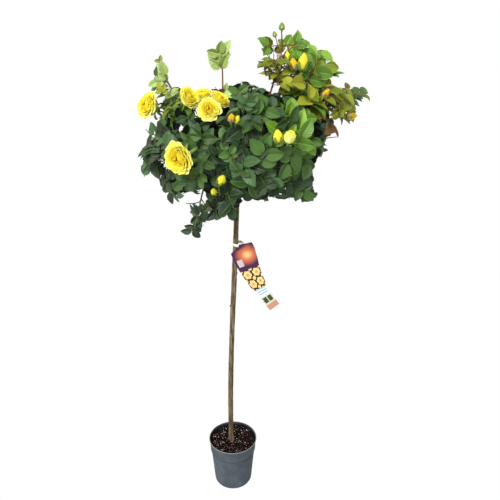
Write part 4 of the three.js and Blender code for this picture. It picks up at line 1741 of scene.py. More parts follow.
            if found >= len(plan) - 1:
                break
        found, pick, size, places, fits = best
        if found < (2 if slim else 3):
            return None
        shares = np.linspace(0, 1, 6)[:, None]
        length = rachis * size
        stalk = root + heading[pick] * length * shares - normal[pick] * length * self.DROOP * shares**2
        crown.room.take(self._spots(places[fits]))
        crown.room.take(stalk)
        return Leaf(stalk, size, tone, shade, places[fits])

    def _tone(self, crown: Crown, root: Array, slim: bool) -> Tone:
        """The tone of the leaf at a place: one of the mass's own, or the shaded one in the crown's core.

        Args:
            crown: The crown it is in.
            root: The place.
            slim: Whether it is on a slim shoot.

        Returns:
            The tone.
        """
        tone = self.cane.tones[-1 if slim else crown.random.integers(len(self.cane.tones))]
        # Leaves in the crown's core take the darkest tone: painted shade.
        depth = np.linalg.norm((root - crown.middle) / crown.core)
        return Tone.SHADED if depth < crown.random.uniform(0.9, 1.1) else tone

    def _leaf_places(
        self,
        root: Array,
        heading: Array,
        normal: Array,
        size: float,
        rachis: float,
        plan: tuple[LeafPlan, ...],
    ) -> Array:
        """The place of each leaflet of a leaf, for each of the ways that the leaf may head.

        Args:
            root: Where its stalk starts.
            heading: The ways that it may head.
            normal: The way its face looks, for each heading.
            size: Its size.
            rachis: The length of its stalk at full size.
            plan: The plan of its leaflets.

        Returns:
            A 3 by 4 matrix for each heading and leaflet.
        """
        length = rachis * size
        side = np.cross(heading, normal)
        columns = []
        for leaflet in plan:
            sag = self.DROOP * 2 * leaflet.at
            ahead = unit(heading - normal * sag)
            face = unit(normal + heading * sag)
            along = unit(ahead * math.cos(leaflet.angle) + side * math.sin(leaflet.angle) + normal * 0.12)
            up = unit(face - along * np.sum(face * along, axis=1, keepdims=True))
            scale = size * leaflet.size
            place = root + heading * length * leaflet.at - normal * length * self.DROOP * leaflet.at**2
            cross = np.cross(along, up)
            columns.append(np.stack([cross * scale, along * scale, up * scale, place], axis=-1))
        return np.stack(columns, axis=1)

    def _spots(self, places: Array) -> Array:
        """Points over each leaflet at its place."""
        return np.einsum("sj,...ij->...si", SAMPLES, places[..., :2]) + places[..., None, :, 3]

    def _fits(self, crown: Crown, places: Array) -> Array:
        """Whether each leaflet keeps to its mass's space, and is almost clear of other leaflets.

        Args:
            crown: The crown it is in.
            places: A 3 by 4 matrix for each leaflet.

        Returns:
            Whether each leaflet fits.
        """
        spots = self._spots(places)
        kept = np.all(self._keeps(crown, spots[..., 4:, :]), axis=-1)
        taken = np.count_nonzero(crown.room.look(spots[..., 4:, :]) == Room.TAKEN, axis=-1)
        return kept & (taken <= 1)


# The pot and what is in it


@dataclass
class Pot:
    """The moulded pot, with its rolled lip, its collar and its drainage holes."""

    sides: int = 96
    wall: float = 0.0024
    collar: float = 0.045
    step: float = 0.0026
    groove: float = 0.0022
    floor: float = 0.004
    taper: float = 0.019
    drains: int = 6
    drain_radius: float = 0.006
    drain_ring: float = 0.046
    drill: float = 0.03

    def __post_init__(self) -> None:
        """Takes the pot's size from the frame."""
        low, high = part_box("pot")
        self.rim = high.x
        self.height = high.z - low.z
        self.foot = self.rim - self.taper

    def radius(self, height: float) -> float:
        """The outer radius of the cone that the pot follows."""
        return self.foot + (self.rim - self.foot) * height / self.height

    def profile(self) -> list[Pair]:
        """The radius and height of each ring, from under the foot over the lip and down inside.

        Returns:
            The radius and height of each ring.
        """
        shoulder = self.height - self.collar
        outer = self.radius(shoulder)
        return [
            (0.004, 0.0016),
            (self.foot - 0.010, 0.0016),
            (self.foot - 0.0085, 0.0),
            (self.foot - 0.0048, 0.0),
            (self.foot - 0.0020, 0.0014),
            (self.radius(0.005) - 0.0002, 0.0056),
            (self.radius(0.012), 0.012),
            (self.radius(shoulder * 0.5) - self.step * 0.5, shoulder * 0.5),
            (outer - self.step - 0.0002, shoulder - 0.0066),
            (outer - self.step - self.groove, shoulder - 0.0054),
            (outer - self.step - self.groove, shoulder - 0.0014),
            (outer - self.step * 0.4, shoulder - 0.0009),
            (outer - 0.0001, shoulder - 0.0002),
            (outer + 0.0002, shoulder + 0.0010),
            (self.rim - 0.0028, self.height - 0.012),
            (self.rim - 0.0024, self.height - 0.0065),
            (self.rim - 0.0008, self.height - 0.0048),
            (self.rim - 0.0002, self.height - 0.0042),
            (self.rim, self.height - 0.0034),
            (self.rim, self.height - 0.0010),
            (self.rim - 0.0004, self.height - 0.0003),
            (self.rim - 0.0009, self.height),
            (self.rim - self.wall + 0.0004, self.height),
            (self.rim - self.wall, self.height - 0.0006),
            (outer - self.wall, shoulder + 0.002),
            (outer - self.wall - self.step - self.groove, shoulder - 0.002),
            (self.radius(self.floor) - self.wall - 0.003, self.floor + 0.002),
            (self.radius(self.floor) - self.wall - 0.006, self.floor),
            (0.004, self.floor),
        ]

    def build(self) -> list[Piece]:
        """Turns the pot, drills its holes and dresses it.

        Returns:
            The pot.
        """
        pot = turned("pot_body", self.profile(), self.sides)
        for number in range(self.drains):
            angle = (number + 0.5) * FULL_TURN / self.drains
            place = self.drain_ring * level_way(angle)
            size = {"vertices": 24, "radius": self.drain_radius, "depth": self.drill}
            drill = added(bpy.ops.mesh.primitive_cylinder_add, **size, location=place)
            finished(pot, "BOOLEAN", operation="DIFFERENCE", object=drill, solver="EXACT")
            bpy.data.objects.remove(drill)
        smooth(pot, 32)
        return [settle(pot, [PLASTIC], ["pot"])]


@dataclass
class Compost:
    """The moist compost: a rough domed surface, chips of bark, pale grit and fibres."""

    sides: int = 120
    rings: int = 34
    border: float = 0.004
    lumps: float = 0.0020
    dome: float = 0.0012
    chips: int = 1500
    chip_shares: tuple[float, ...] = (0.53, 0.30, 0.09, 0.025, 0.055)
    chip_sizes: Pair = (0.0018, 0.0048)
    chip_widths: Pair = (0.35, 0.8)
    chip_depths: Pair = (0.25, 0.5)
    first_grit: int = 3
    grit_size: float = 0.8
    fibres: int = 60
    fibre_lengths: Pair = (0.006, 0.018)
    fibre_radii: Pair = (0.0002, 0.0005)
    seed: int = 7

    def __post_init__(self) -> None:
        """Takes the compost's size from the frame."""
        low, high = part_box("soil")
        self.bottom = low.z
        self.level = high.z
        self.radius = high.x - 0.0005
        self.random = np.random.default_rng(self.seed)

    def height(self, x: float, y: float) -> float:
        """The height of the surface at a place.

        Args:
            x: The place's X.
            y: Its Y.

        Returns:
            The height.
        """
        edge = math.hypot(x, y) / self.radius
        lumps = noise.fractal(Vector((x, y, 0.3)) * 95, 0.9, 2.1, 4) * self.lumps
        return self.level - self.dome * edge**2 + lumps - 0.0006

    def build(self) -> list[Piece]:
        """Makes the bed, and all that lies on it."""
        return [self._bed(), self._chips(), self._fibres()]

    def _bed(self) -> Piece:
        """The bed of compost, down to the pot's floor.

        Returns:
            The piece.
        """
        profile = [(self.radius - 0.016, self.bottom), (self.radius - 0.014, self.bottom + 0.002)]
        profile += [(self.radius - 0.002, self.level - 0.03)]
        profile += [(self.radius * share, self.level) for share in np.linspace(1, 0.012, self.rings)]
        bed = turned("compost_bed", profile, self.sides)
        points = points_of(bed)
        top = points[:, 2] > self.level - 0.001
        points[top, 2] = [self.height(x, y) for x, y, _ in points[top]]
        move_points(bed, points)
        smooth(bed, 60)
        return settle(bed, [EARTH], ["soil"])

    def _spot(self) -> Array:
        """A random place on the surface.

        Returns:
            The place.
        """
        reach = (self.radius - self.border) * math.sqrt(self.random.uniform(0.012, 1))
        angle = self.random.uniform(0, FULL_TURN)
        x, y = reach * math.cos(angle), reach * math.sin(angle)
        return np.array([x, y, self.height(x, y)])

    def _chip_shape(self) -> Shape:
        """A rough chip, one across, modelled from a small ball.

        Returns:
            The chip.
        """
        chip = added(bpy.ops.mesh.primitive_uv_sphere_add, segments=6, ring_count=4, radius=0.5)
        points = points_of(chip)
        faces = [list(face.vertices) for face in chip.data.polygons]
        bpy.data.objects.remove(chip)
        quads, triangles = (np.array([face for face in faces if len(face) == corners]) for corners in (4, 3))
        return Shape(points, quads, triangles)

    def _chips(self) -> Piece:
        """Chips of bark and grains of grit, of mixed sizes and tones.

        Returns:
            The piece.
        """
        template = self._chip_shape()
        heap = Heap()
        for slot in self.random.choice(len(CHIPS), self.chips, p=self.chip_shares):
            size = self.random.uniform(*self.chip_sizes)
            if slot >= self.first_grit:
                size *= self.grit_size
            shape = template.points * (1 + self.random.uniform(-0.25, 0.25, template.points.shape))
            width = size * self.random.uniform(*self.chip_widths)
            depth = size * self.random.uniform(*self.chip_depths)
            shape = shape * (size, width, depth)
            axes, _ = np.linalg.qr(self.random.normal(size=(3, 3)) + np.diag((0, 0, 2.2)))
            if np.linalg.det(axes) < 0:
                axes[:, 0] *= -1
            place = self._spot() + (0, 0, size * 0.08)
            heap.add(Shape(shape @ axes.T + place, template.quads, template.triangles), int(slot))
        return heap.settled("compost_chips", 30, CHIPS)

    def _fibres(self) -> Piece:
        """Short bent fibres and rootlets that lie on the surface.

        Returns:
            The piece.
        """
        heap = Heap()
        for _ in range(self.fibres):
            start = self._spot()
            way = level_way(self.random.uniform(0, FULL_TURN))
            length = self.random.uniform(*self.fibre_lengths)
            bend = start + way * length * 0.5 + (*self.random.uniform(-0.003, 0.003, 2), 0.0025)
            end = start + way * length
            inside = min(1.0, (self.radius - self.border) / math.hypot(end[0], end[1]))
            end = np.array([end[0] * inside, end[1] * inside, 0])
            end[2] = self.height(end[0], end[1]) + 0.0002
            thick = self.random.uniform(*self.fibre_radii)
            line = Line.curve(start, bend, end, steps=5)
            heap.add(tube(line.points, np.linspace(thick, thick * 0.6, 6), 4), int(self.random.integers(2)))
        return heap.settled("compost_fibres", 60, CHIPS[1:3])


# The wood


@dataclass
class Wood:
    """The stem, its graft and the bare canes, as one skin with the bark's relief, and the prickles on it.

    Each knot has its share of the stem's length and its angle. Lobe, joint and flat say how far the stem
    leaves the round, and fissure and grain how deep the bark's relief is.
    """

    crown: Crown
    foot: float = 0.0088
    neck: float = 0.0080
    flare: float = 0.0025
    flare_height: float = 0.014
    head_radius: float = 0.0145
    head_length: float = 0.036
    sides: int = 20
    voxel: float = 0.0012
    buried: float = 0.005
    prickles: int = 150
    prickle_sizes: Pair = (0.0025, 0.0045)
    prickle_taper: tuple[float, ...] = (0.34, 0.22, 0.13, 0.06, 0.015)
    lobe: float = 0.22
    joint: float = 0.045
    flat: float = 0.03
    fissure: float = 0.00055
    grain: float = 0.00022
    graft: float = 1.15
    knots: tuple[Pair, ...] = (
        (0.10, 1.0), (0.23, 4.2), (0.335, 2.6), (0.46, 5.6),
        (0.57, 3.4), (0.69, 0.4), (0.80, 4.8), (0.9, 2.2),
    )
    stub: Point = (-0.35, 0.3, 0.9)
    stub_length: float = 0.027
    lumps: int = 9
    seed: int = 23

    def __post_init__(self) -> None:
        """Takes the height of the stem's flat foot from the frame."""
        self.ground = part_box("stem")[0].z
        self.random = np.random.default_rng(self.seed)

    def stem_radius(self, share: Array) -> Array:
        """The stem's radius at a share of its length.

        Args:
            share: The share, or several.

        Returns:
            The radius at each.
        """
        length = self.crown.stem.length
        height = share * length
        top = length - height
        flare = self.flare * np.exp((0.008 - height) / self.flare_height)
        hump = np.cos(np.minimum(1, np.abs(top / self.head_length - 0.42) / 0.62) * (math.pi / 2)) ** 2
        return self.foot + (self.neck - self.foot) * share + flare + (self.head_radius - self.neck) * hump

    def build(self) -> list[Piece]:
        """Makes the skin of all the wood, and its prickles."""
        return [self._skin(), self._prickles()]

    def _stem_shape(self) -> Shape:
        """The stem with the lobes of its root flare and its slow swellings.

        Returns:
            The stem.
        """
        shares = np.linspace(0.002, 1, 420)
        radii = self.stem_radius(shares)[:, None]
        angles = np.arange(self.sides) * FULL_TURN / self.sides
        near_foot = np.exp(-shares * self.crown.stem.length / 0.02)[:, None]
        lobes = 1 + self.lobe * near_foot * np.cos(3 * angles + 0.6)
        joints = 1 + self.joint * np.maximum(0, np.cos(shares * 68 + 1.0))[:, None] ** 8
        flats = 1 + self.flat * np.cos(2 * angles + shares[:, None] * 14)
        return tube(self.crown.stem.at(shares), radii * lobes * joints * flats, self.sides)

    def _knots(self) -> list[Shape]:
        """Pruned knots up the stem, the healed stub on the graft, and lumps of callus round it.

        Returns:
            Each knot and lump.
        """
        made = []
        for share, angle in self.knots:
            centre = self.crown.stem.at(share)
            reach = float(self.stem_radius(np.array(share))) + 0.0018
            made.append(self._peg(centre, level_way(angle, 0.35) * reach, (0.005, 0.0028), 10))
        head = np.array(self.crown.head)
        made.append(self._peg(head, np.array(self.stub) * self.stub_length, (0.0085, 0.0072), 14))
        for i in range(self.lumps):
            way = level_way(i * GOLDEN_TURN, 0.5 * math.sin(i * 1.7))
            made.append(self._peg(head, way * 0.0125, (0.006, 0.0045), 8))
        return made

    def _peg(self, start: Array, way: Array, radii: Pair, sides: int) -> Shape:
        """A short straight tube.

        Args:
            start: Where it starts.
            way: How far it goes, and which way.
            radii: Its radius at each end.
            sides: How many sides it has.

        Returns:
            The tube.
        """
        return tube(np.array([start, start + way]), np.array(radii), sides)

    def _skin(self) -> Piece:
        """Joins all the wood under one skin, and gives it the relief of bark.

        Returns:
            The piece.
        """
        heap = Heap()
        heap.add(self._stem_shape())
        for knot in self._knots():
            heap.add(knot)
        for limb in [*self.crown.limbs, *self.crown.boughs]:
            steps = np.linspace(0, 1, 40)
            swell = 1 + 0.35 * np.exp(-steps * limb.line.length / 0.007)
            collar = 1 + 0.08 * np.maximum(0, np.cos(steps * limb.line.length / 0.034 * FULL_TURN)) ** 12
            heap.add(tube(limb.line.at(steps), limb.radius(steps) * swell * collar, limb.sides))
        skin = heap.piece("stem_and_canes")
        finished(skin, "REMESH", mode="VOXEL", voxel_size=self.voxel)
        finished(skin, "SMOOTH", factor=0.5, iterations=2)
        normals = np.zeros(len(skin.data.vertices) * 3)
        skin.data.vertex_normals.foreach_get("vector", normals)
        points = points_of(skin)
        relief = np.array([self._relief(Vector(point)) for point in points])
        move_points(skin, points + normals.reshape(-1, 3) * relief[:, None])
        self._trim(skin)
        smooth(skin, 70)
        nodes = [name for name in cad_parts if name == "stem" or name.startswith(("limb_", "bough_"))]
        return settle(skin, [BARK], nodes)

    def _relief(self, point: Vector) -> float:
        """How far the bark stands out at a point: long fissures on the stem, a finer grain on the canes.

        Args:
            point: The point.

        Returns:
            How far.
        """
        old = min(1.0, max(0.0, (self.graft - point.z) / 0.05))
        streaks = noise.fractal(Vector((point.x, point.y, point.z * 0.16)) * 330, 0.8, 2.0, 3)
        grain = noise.noise(point * 420)
        return self.fissure * old * streaks + self.grain * (1 - 0.5 * old) * grain

    def _trim(self, skin: Piece) -> None:
        """Cuts the stem's foot flat, a little below the surface of the compost.

        Args:
            skin: The skin of the wood.
        """
        only(skin)
        bpy.ops.object.mode_set(mode="EDIT")
        bpy.ops.mesh.select_all(action="SELECT")
        level = (0, 0, self.ground - self.buried)
        bpy.ops.mesh.bisect(plane_co=level, plane_no=(0, 0, 1), clear_inner=True, use_fill=True)
        bpy.ops.object.mode_set(mode="OBJECT")

    def _prickles(self) -> Piece:
        """Hooked prickles on the canes and the leaders.

        Returns:
            The piece.
        """
        heap = Heap()
        carriers = [*self.crown.limbs, *self.crown.boughs, *(mass.shoots[0] for mass in self.crown.masses)]
        for _ in range(self.prickles):
            limb = carriers[self.random.integers(len(carriers))]
            share = self.random.uniform(0.12, 0.95)
            along = limb.line.along(share)
            out = out_from(along, self.random.uniform(0, FULL_TURN))
            root = limb.line.at(share) + out * limb.radius(share) * 0.7
            size = self.random.uniform(*self.prickle_sizes)
            point = root + out * size * 1.1 - along * size * 0.5
            line = Line.curve(root, root + out * size * 0.8, point, steps=4)
            heap.add(tube(line.points, size * np.array(self.prickle_taper), 6))
        return heap.settled("prickles", 60, [PRICKLE])


# Leaves and shoots


@dataclass
class Foliage:
    """All the green shoots, leaf stalks and leaflets."""

    crown: Crown
    rows: int = 8
    thickness: float = 0.0005
    variants: int = 9
    folds: Pair = (0.30, 0.75)
    curls: Pair = (0.0, 0.3)
    waves: Pair = (0.0, 0.0024)
    leans: Pair = (-0.1, 0.1)
    teeth: Pair = (1.06, 0.97)
    columns: tuple[float, ...] = (-1, -0.93, -0.5, -0.05, 0.05, 0.5, 0.93, 1)
    stalk_radii: Pair = (0.0011, 0.0005)
    stalk_foot: float = 1.6
    seed: int = 5

    def __post_init__(self) -> None:
        """Seeds the small differences between leaflets."""
        self.random = np.random.default_rng(self.seed)

    def build(self) -> list[Piece]:
        """Makes the shoots, the stalks and the leaflets of each limb."""
        return [*self._shoots(), self._stalks(), *self._leaflets()]

    def _shoots(self) -> list[Piece]:
        """The leading and side shoots, green and reddish apart.

        Returns:
            The two pieces.
        """
        made = []
        for name, red, finish in (("shoots_green", False, SHOOT_GREEN), ("shoots_red", True, SHOOT_RED)):
            heap = Heap()
            for mass in self.crown.masses:
                for limb in mass.shoots if mass.cane.red == red else []:
                    heap.add(limb.shape())
            made.append(heap.settled(name, 60, [finish]))
        return made

    def _stalks(self) -> Piece:
        """The stalks of the leaves and of the flowers.

        Returns:
            The piece.
        """
        heap = Heap()
        for mass in self.crown.masses:
            slot = 1 if mass.cane.red else 0
            for limb in mass.stalks:
                heap.add(limb.shape(), slot)
            for leaf in mass.leaves:
                radii = np.linspace(*self.stalk_radii, len(leaf.stalk)) * leaf.size
                radii[0] *= self.stalk_foot
                heap.add(tube(leaf.stalk, radii, 5), slot)
        return heap.settled("leaf_stalks", 60, [STALK_GREEN, STALK_RED])

    def _variant(self) -> tuple[Shape, Array, Array]:
        """One leaflet, modelled from a grid: toothed, folded at its midrib, curled and waved by chance.

        Returns:
            The leaflet at its full size, the part that each face belongs to (blade, pale midrib and edge,
            the edge's paleness a painted highlight, or underside with the rim), and each point's place on
            the blade, across it and along it.
        """
        spans = len(self.columns) - 1
        size = {"x_subdivisions": spans, "y_subdivisions": self.rows, "size": 2}
        leaflet = added(bpy.ops.mesh.primitive_grid_add, **size)
        points = points_of(leaflet)
        along_it = (points[:, 1] + 1) / 2
        across_it = np.interp(points[:, 0], np.linspace(-1, 1, spans + 1), self.columns)
        for face in leaflet.data.polygons:
            # The pale faces are the midrib and the thin edge strip; the edge's paleness is a painted
            # highlight.
            face.material_index = BLADE if 0.1 < abs(face.center.x) < 0.75 else PALE
        move_points(leaflet, self._blade(across_it, along_it))
        marks = np.stack([across_it / 2 + 0.5, along_it], axis=1)
        for name in ("blade", "pale", "under"):
            leaflet.data.materials.append(bpy.data.materials.new(name))
        offsets = {"material_offset": UNDERSIDE, "material_offset_rim": UNDERSIDE}
        finished(leaflet, "SOLIDIFY", thickness=self.thickness, offset=-1.0, **offsets)
        quads = np.array([list(face.vertices) for face in leaflet.data.polygons])
        parts = np.array([face.material_index for face in leaflet.data.polygons])
        shape = Shape(points_of(leaflet), quads, NO_TRIANGLES)
        for material in list(leaflet.data.materials):
            bpy.data.materials.remove(material)
        bpy.data.objects.remove(leaflet)
        return shape, parts, np.concatenate([marks, marks])

    def _blade(self, across_it: Array, along_it: Array) -> Array:
        """Points of a blade with a toothed edge, folded, curled, waved and leaning by chance.

        Args:
            across_it: How far across the blade each point is, from -1 to 1.
            along_it: How far along it each point is, from 0 to 1.

        Returns:
            The place of each point.
        """
        outline = np.sin(math.pi * along_it**0.86) ** 0.74
        tip = np.maximum(0, (along_it - 0.8) / 0.2)
        outline = outline * (1 - 0.35 * tip**2) + 0.006
        rim = np.abs(across_it) > 0.9
        teeth = np.where(np.round(along_it * self.rows) % 2 == 1, *self.teeth)
        x = across_it * (0.5 * LEAFLET_WIDTH * outline * np.where(rim, teeth, 1.0))
        fold = self.random.uniform(*self.folds)
        curl = self.random.uniform(*self.curls)
        wave = self.random.uniform(*self.waves)
        phase = self.random.uniform(0, FULL_TURN)
        lean = self.random.uniform(*self.leans)
        y = LEAFLET_LENGTH * (0.03 + 0.97 * along_it)
        z = fold * np.abs(x) - 9.0 * fold * x**2 - curl * LEAFLET_LENGTH * along_it**2
        z = z + wave * np.sin(9 * along_it + phase) * np.abs(across_it) ** 2
        x = x + lean * LEAFLET_LENGTH * along_it**2 * 0.5
        return np.stack([x, y, z], axis=1)

    def _leaflets(self) -> list[Piece]:
        """The leaflets, one piece for the masses of each limb.

        Returns:
            The pieces.
        """
        variants = [self._variant() for _ in range(self.variants)]
        made = []
        for group, canes in CANES.items():
            masses = [mass for mass in self.crown.masses if mass.cane in canes]
            leaves = [leaf for mass in masses for leaf in mass.leaves]
            tones = [tone for tone in Tone if any(leaf.tone == tone for leaf in leaves)]
            own = [(place, leaf) for leaf in leaves for place in leaf.leaflets]
            picks = self.random.integers(self.variants, size=len(own))
            heap = Heap()
            marks = []
            for number, (shape, parts, own_marks) in enumerate(variants):
                chosen = [item for item, pick in zip(own, picks) if pick == number]
                if not chosen:
                    continue
                places = np.array([place for place, _ in chosen])
                first = np.array([tones.index(leaf.tone) * LEAF_SLOTS for _, leaf in chosen])[:, None]
                shades = np.array([leaf.shade for _, leaf in chosen])[:, None]
                pale_or_under = np.where(parts[None] == PALE, RIB_AND_EDGE_SLOT, UNDER_SLOT)
                kinds = np.where(parts[None] == BLADE, shades, pale_or_under)
                heap.add_copies(shape, places, first + kinds)
                marks.append(np.tile(own_marks, (len(places), 1)))
            piece = heap.piece(f"foliage_{group}")
            map_points(piece, np.concatenate(marks), BLADE_MAP)
            smooth(piece, 26)
            finishes = [finish for tone in tones for finish in leaf_finishes(tone)]
            made.append(settle(piece, finishes, [f"leaves_{cane.name}" for cane in canes]))
        return made


# Flowers


class Bend(NamedTuple):
    """The line that a petal or sepal follows, as control points in widths of its flower."""

    out: tuple[float, ...]
    up: tuple[float, ...]
    half: float

    def at(self, share: Array) -> tuple[Array, Array]:
        """The distance from the flower's axis and the height, at shares of the line.

        Args:
            share: The shares.

        Returns:
            The distances and the heights.
        """
        last = len(self.out) - 1
        weights = [math.comb(last, k) * share**k * (1 - share) ** (last - k) for k in range(last + 1)]
        out = sum(weight * value for weight, value in zip(weights, self.out))
        up = sum(weight * value for weight, value in zip(weights, self.up))
        return out, up

    def mixed(self, other: Bend, share: float) -> Bend:
        """A line between this one and another.

        Args:
            other: The other line.
            share: How much of the other is in it.

        Returns:
            The line.
        """
        out = tuple(a + (b - a) * share for a, b in zip(self.out, other.out))
        up = tuple(a + (b - a) * share for a, b in zip(self.up, other.up))
        return Bend(out, up, self.half + (other.half - self.half) * share)


@dataclass(frozen=True)
class Habit:
    """How a kind of flower is built: its petals from the heart outwards, its sepals, its foot and its hip.

    Foot is the height of its foot and hip the size of the hip, in widths of the flower.
    """

    petals: int
    heart: Bend
    middle: Bend
    outside: Bend
    sepal: Bend
    foot: float
    hip: float

    def petal(self, rank: float) -> Bend:
        """The line of a petal whose rank goes from 0 in the heart to 1 outside.

        Args:
            rank: The petal's rank.

        Returns:
            Its line.
        """
        if rank < 0.5:
            return self.heart.mixed(self.middle, rank * 2)
        return self.middle.mixed(self.outside, rank * 2 - 1)


HABITS = {
    Kind.BLOOM: Habit(
        54,
        Bend((0.01, 0.07, 0.10, 0.09, 0.04), (-0.26, -0.08, 0.10, 0.20, 0.21), 0.13),
        Bend((0.03, 0.20, 0.24, 0.24, 0.31), (-0.28, -0.20, 0.06, 0.20, 0.23), 0.22),
        Bend((0.04, 0.34, 0.37, 0.43, 0.52), (-0.30, -0.34, 0.02, 0.12, 0.05), 0.32),
        Bend((0.06, 0.14, 0.26, 0.30, 0.30), (-0.31, -0.36, -0.36, -0.44, -0.56), 0.09),
        -0.31,
        0.40,
    ),
    Kind.CUP: Habit(
        22,
        Bend((0.01, 0.10, 0.16, 0.14, 0.02), (-0.42, -0.20, 0.15, 0.46, 0.48), 0.16),
        Bend((0.03, 0.38, 0.42, 0.36, 0.20), (-0.45, -0.40, 0.05, 0.44, 0.56), 0.30),
        Bend((0.05, 0.56, 0.54, 0.48, 0.52), (-0.46, -0.46, -0.05, 0.34, 0.50), 0.44),
        Bend((0.08, 0.40, 0.56, 0.62, 0.70), (-0.47, -0.50, -0.30, -0.24, -0.34), 0.14),
        -0.48,
        0.60,
    ),
    Kind.BUD: Habit(
        9,
        Bend((0.01, 0.24, 0.30, 0.16, 0.00), (-0.66, -0.50, 0.00, 0.60, 0.86), 0.25),
        Bend((0.04, 0.50, 0.56, 0.34, 0.03), (-0.68, -0.60, -0.05, 0.55, 0.84), 0.40),
        Bend((0.06, 0.62, 0.68, 0.44, 0.12), (-0.70, -0.66, -0.10, 0.48, 0.78), 0.52),
        Bend((0.10, 0.62, 0.70, 0.56, 0.62), (-0.72, -0.70, -0.25, 0.05, 0.22), 0.24),
        -0.72,
        0.95,
    ),
    Kind.KNOB: Habit(
        6,
        Bend((0.01, 0.24, 0.30, 0.16, 0.00), (-0.60, -0.45, 0.00, 0.40, 0.62), 0.25),
        Bend((0.04, 0.50, 0.56, 0.34, 0.03), (-0.60, -0.55, -0.05, 0.38, 0.60), 0.40),
        Bend((0.06, 0.60, 0.62, 0.40, 0.08), (-0.60, -0.58, -0.10, 0.34, 0.56), 0.50),
        Bend((0.10, 0.66, 0.72, 0.42, 0.06), (-0.62, -0.62, -0.10, 0.40, 0.74), 0.36),
        -0.62,
        0.95,
    ),
}


